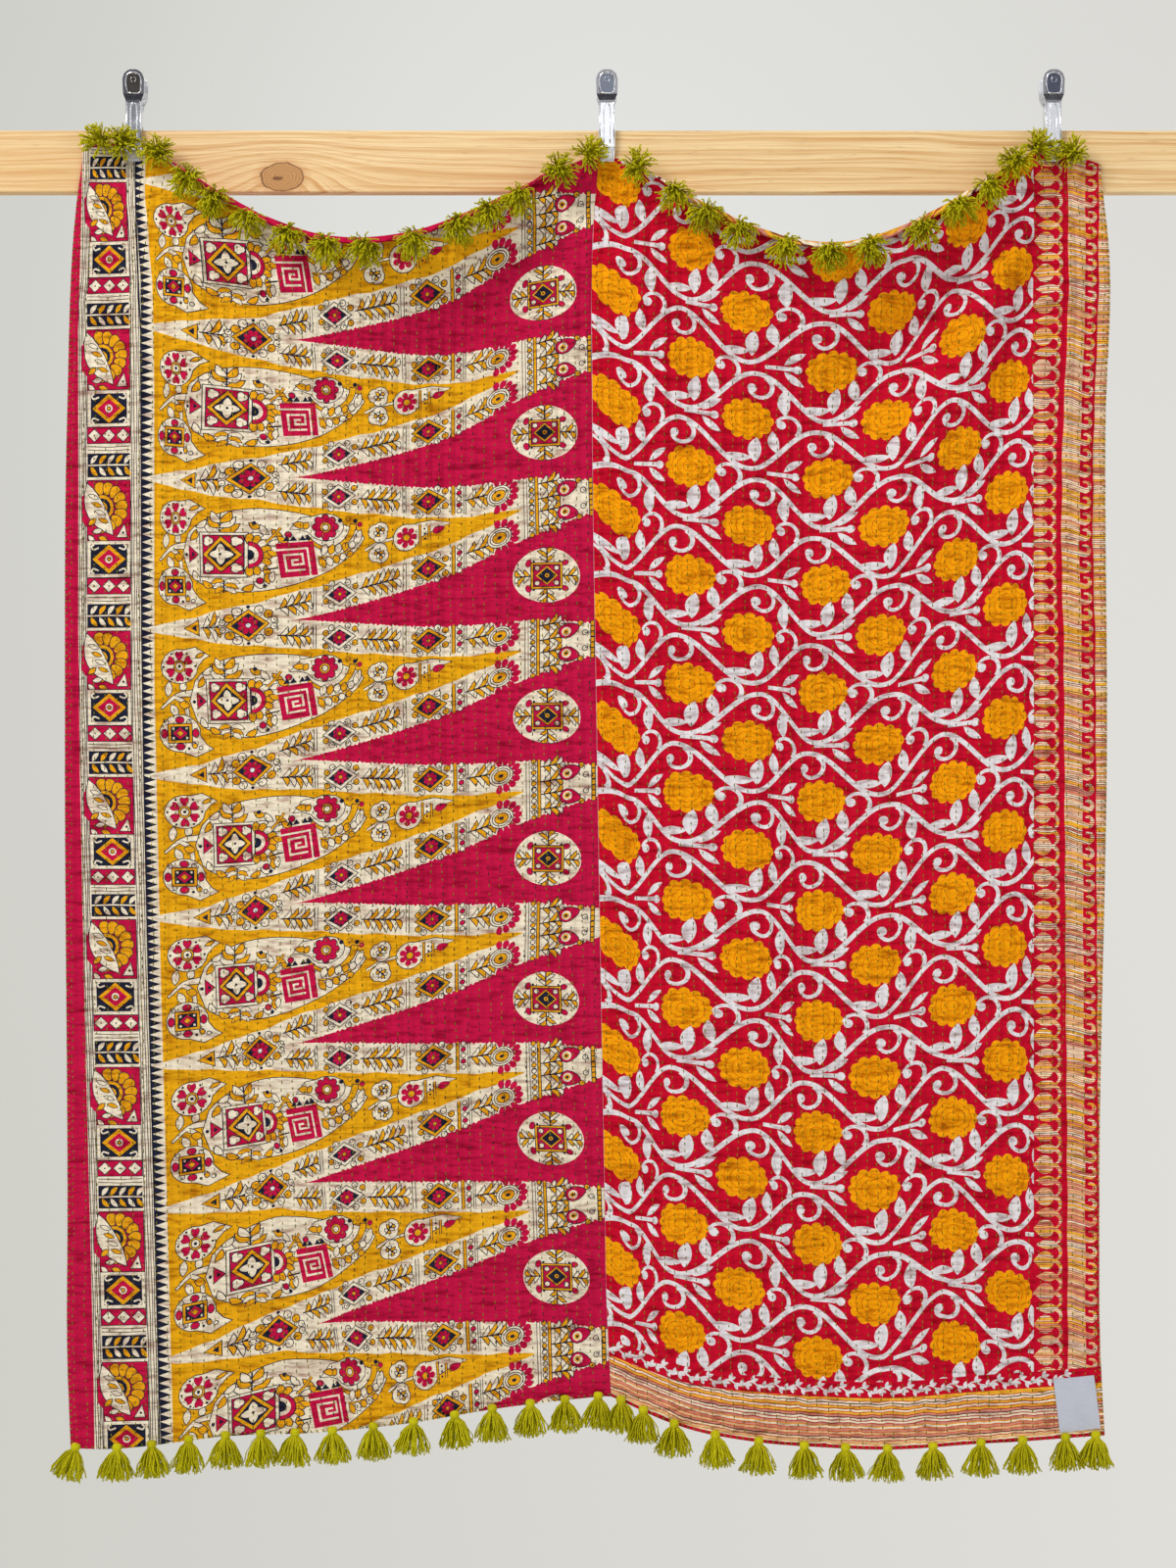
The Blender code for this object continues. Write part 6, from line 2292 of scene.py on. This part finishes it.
def slab_of(front: Array, back: Array) -> tuple[Array, Array]:
    """A closed slab between two grids."""
    rows, columns = front.shape[:2]
    index = np.arange(rows * columns).reshape(rows, columns)
    quads = np.stack([index[:-1, :-1], index[:-1, 1:], index[1:, 1:], index[1:, :-1]], axis=-1).reshape(-1, 4)
    offset = rows * columns
    rim = np.concatenate([index[0, :-1], index[:-1, -1], index[-1, :0:-1], index[:0:-1, 0]])
    after = np.roll(rim, -1)
    walls = np.stack([after, rim, rim + offset, after + offset], axis=1)
    faces = np.concatenate([quads, quads[:, ::-1] + offset, walls])
    points = np.concatenate([front.reshape(-1, 3), back.reshape(-1, 3)])
    triangles = np.concatenate([faces[:, [0, 1, 2]], faces[:, [0, 2, 3]]])
    return points, triangles


def pipe_of(line: Array, radius: float, corners: int) -> tuple[Array, Array]:
    """A round wire along a line of points, as a closed tube."""
    apart = np.linalg.norm(np.diff(line, axis=0), axis=1) > 1e-7
    line = line[np.concatenate([[True], apart])]
    along = np.gradient(line, axis=0)
    along /= np.linalg.norm(along, axis=1, keepdims=True)
    helper = np.array([1.0, 0.0, 0.0]) if abs(along[0, 0]) < 0.9 else np.array([0.0, 0.0, 1.0])
    side = np.cross(along, helper)
    side /= np.linalg.norm(side, axis=1, keepdims=True)
    other = np.cross(along, side)
    turn = np.linspace(0, 2 * np.pi, corners, endpoint=False)
    ring = side[:, None] * np.cos(turn)[None, :, None] + other[:, None] * np.sin(turn)[None, :, None]
    return tube_of(line[:, None] + ring * radius)


@dataclass
class Label:
    """The blank satin label, as the CAD has it."""

    def build(self) -> None:
        """Gives the CAD's label its satin."""
        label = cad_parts["label"]
        label.data.materials.clear()
        label.data.materials.append(Satin().make())


@dataclass
class Studio:
    """Floor, soft light and the camera at the photograph's angle."""

    frame_height: float = 1.824
    distance: float = 3.5
    eye_height: float = -0.725
    floor_z: float = -1.80

    def build(self) -> None:
        """Builds the floor, the world, the lights and the camera."""
        scene = bpy.context.scene
        scene.view_settings.view_transform = "Standard"
        self.add_floor()
        scene.world = self.room()
        self.add_light("key_light", (-2.0, -2.3, 1.9), (0.0, 0.0, -0.7), 1.5, 77.0)
        self.add_light("fill_light", (2.4, -3.0, -0.4), (0.0, 0.0, -0.8), 2.0, 19.0)
        camera = bpy.data.cameras.new("camera")
        camera.sensor_fit = "AUTO"
        camera.sensor_width = 36.0
        camera.lens = 36.0 * self.distance / self.frame_height
        eye = bpy.data.objects.new("camera", camera)
        eye.location = (0.0, -self.distance - 0.0137, self.eye_height)
        eye.rotation_euler = (math.radians(90), 0.0, 0.0)
        scene.collection.objects.link(eye)
        scene.camera = eye

    def room(self) -> bpy.types.World:
        """A pale wall behind the throw, and behind the camera a soft room.

        What the chrome mirrors has bright windows over a dark floor. What lights the cloth is the
        same room blurred, so the two are told apart by the kind of ray.
        """
        shade = Shade("pale_room", world=True)
        place = shade.node("ShaderNodeTexCoord", {}, {}, "Generated")
        x, y, z = shade.axes(place)
        behind = (y * 3.0 + 0.4).limited()
        low = (0.0 - z * 2.5).limited()
        soft = shade.mix(low, (0.56, 0.56, 0.56), (0.36, 0.35, 0.33))
        windows = (x * 13.0 + 1.1).sine() * 0.9 + 0.5
        sky = shade.mix(windows.limited(), (0.16, 0.165, 0.18), (1.25, 1.26, 1.30))
        floor = ((0.05 - z) * 9.0).limited()
        sharp = shade.mix(floor, sky, (0.035, 0.035, 0.045))
        mirrored = shade.node("ShaderNodeLightPath", {}, {}, "Is Glossy Ray")
        front = shade.mix(mirrored, soft, sharp)
        across = (x * 2.6 + 0.5).limited()
        wall = shade.mix(across, linear((208, 207, 200)), linear((224, 222, 217)))
        wall = shade.mix((z * 4.0).limited() * 0.12, wall, linear((148, 153, 158)))
        middle = (0.0 - (x * x * 40.0 + (z - 0.16) * (z - 0.16) * 30.0)).exponent()
        wall = shade.mix(middle * 0.8, wall, linear((231, 232, 229)))
        return shade.finish(Color=shade.mix(behind, front, wall), Strength=1.0)

    def add_floor(self) -> None:
        """A plain pale floor below the throw, level."""
        shade = Shade("pale_floor")
        speckle = shade.noise(shade.place(), 9.0, 2.0)
        tone = shade.mix(speckle, (0.73, 0.755, 0.745), (0.76, 0.785, 0.775))
        material = shade.finish(Base_Color=tone, Roughness=0.85)
        corners = np.array([(-2.4, -2.4), (2.4, -2.4), (2.4, 0.55), (-2.4, 0.55)])
        points = np.concatenate([
            np.column_stack([corners, np.full(4, self.floor_z)]),
            np.column_stack([corners, np.full(4, self.floor_z - 0.02)]),
        ])
        faces = [(0, 1, 2, 3), (7, 6, 5, 4), (0, 4, 5, 1), (1, 5, 6, 2), (2, 6, 7, 3), (3, 7, 4, 0)]
        mesh = bpy.data.meshes.new("floor")
        mesh.from_pydata(points.tolist(), [], faces)
        mesh.materials.append(material)
        floor = bpy.data.objects.new("floor", mesh)
        bpy.context.scene.collection.objects.link(floor)

    def add_light(self, name: str, place: tuple[float, float, float], target: tuple[float, float, float],
                  size: float, power: float) -> None:
        """A square soft light that looks at a target."""
        data = bpy.data.lights.new(name, "AREA")
        data.size = size
        data.energy = power
        light = bpy.data.objects.new(name, data)
        light.location = place
        light.rotation_euler = (Vector(target) - Vector(place)).to_track_quat("-Z", "Y").to_euler()
        bpy.context.scene.collection.objects.link(light)


def main() -> None:
    """Builds every sub-assembly in order."""
    Throw().build()
    Tassels().build()
    Rail().build()
    chrome = Chrome("chrome").make()
    bright = Chrome("bare_edge", (252, 252, 254), 0.6, 0.00002).make()
    # Each clip's head panel gets a dark chrome whose colour is a painted reflection, one tone a clip.
    painted_reflection_tones = ((92, 86, 80), (176, 184, 200), (98, 102, 120))
    for name, x, colour in zip(("left", "centre", "right"), CLOTH.clip_x, painted_reflection_tones):
        dark = Chrome(f"chrome_painted_reflection_{name}", colour, 0.30, 0.00001).make()
        SpringClip(name, x).build(chrome, dark, bright)
    Label().build()
    Studio().build()
    log.info("all pieces are in place")


if __name__ == "__main__":
    main()
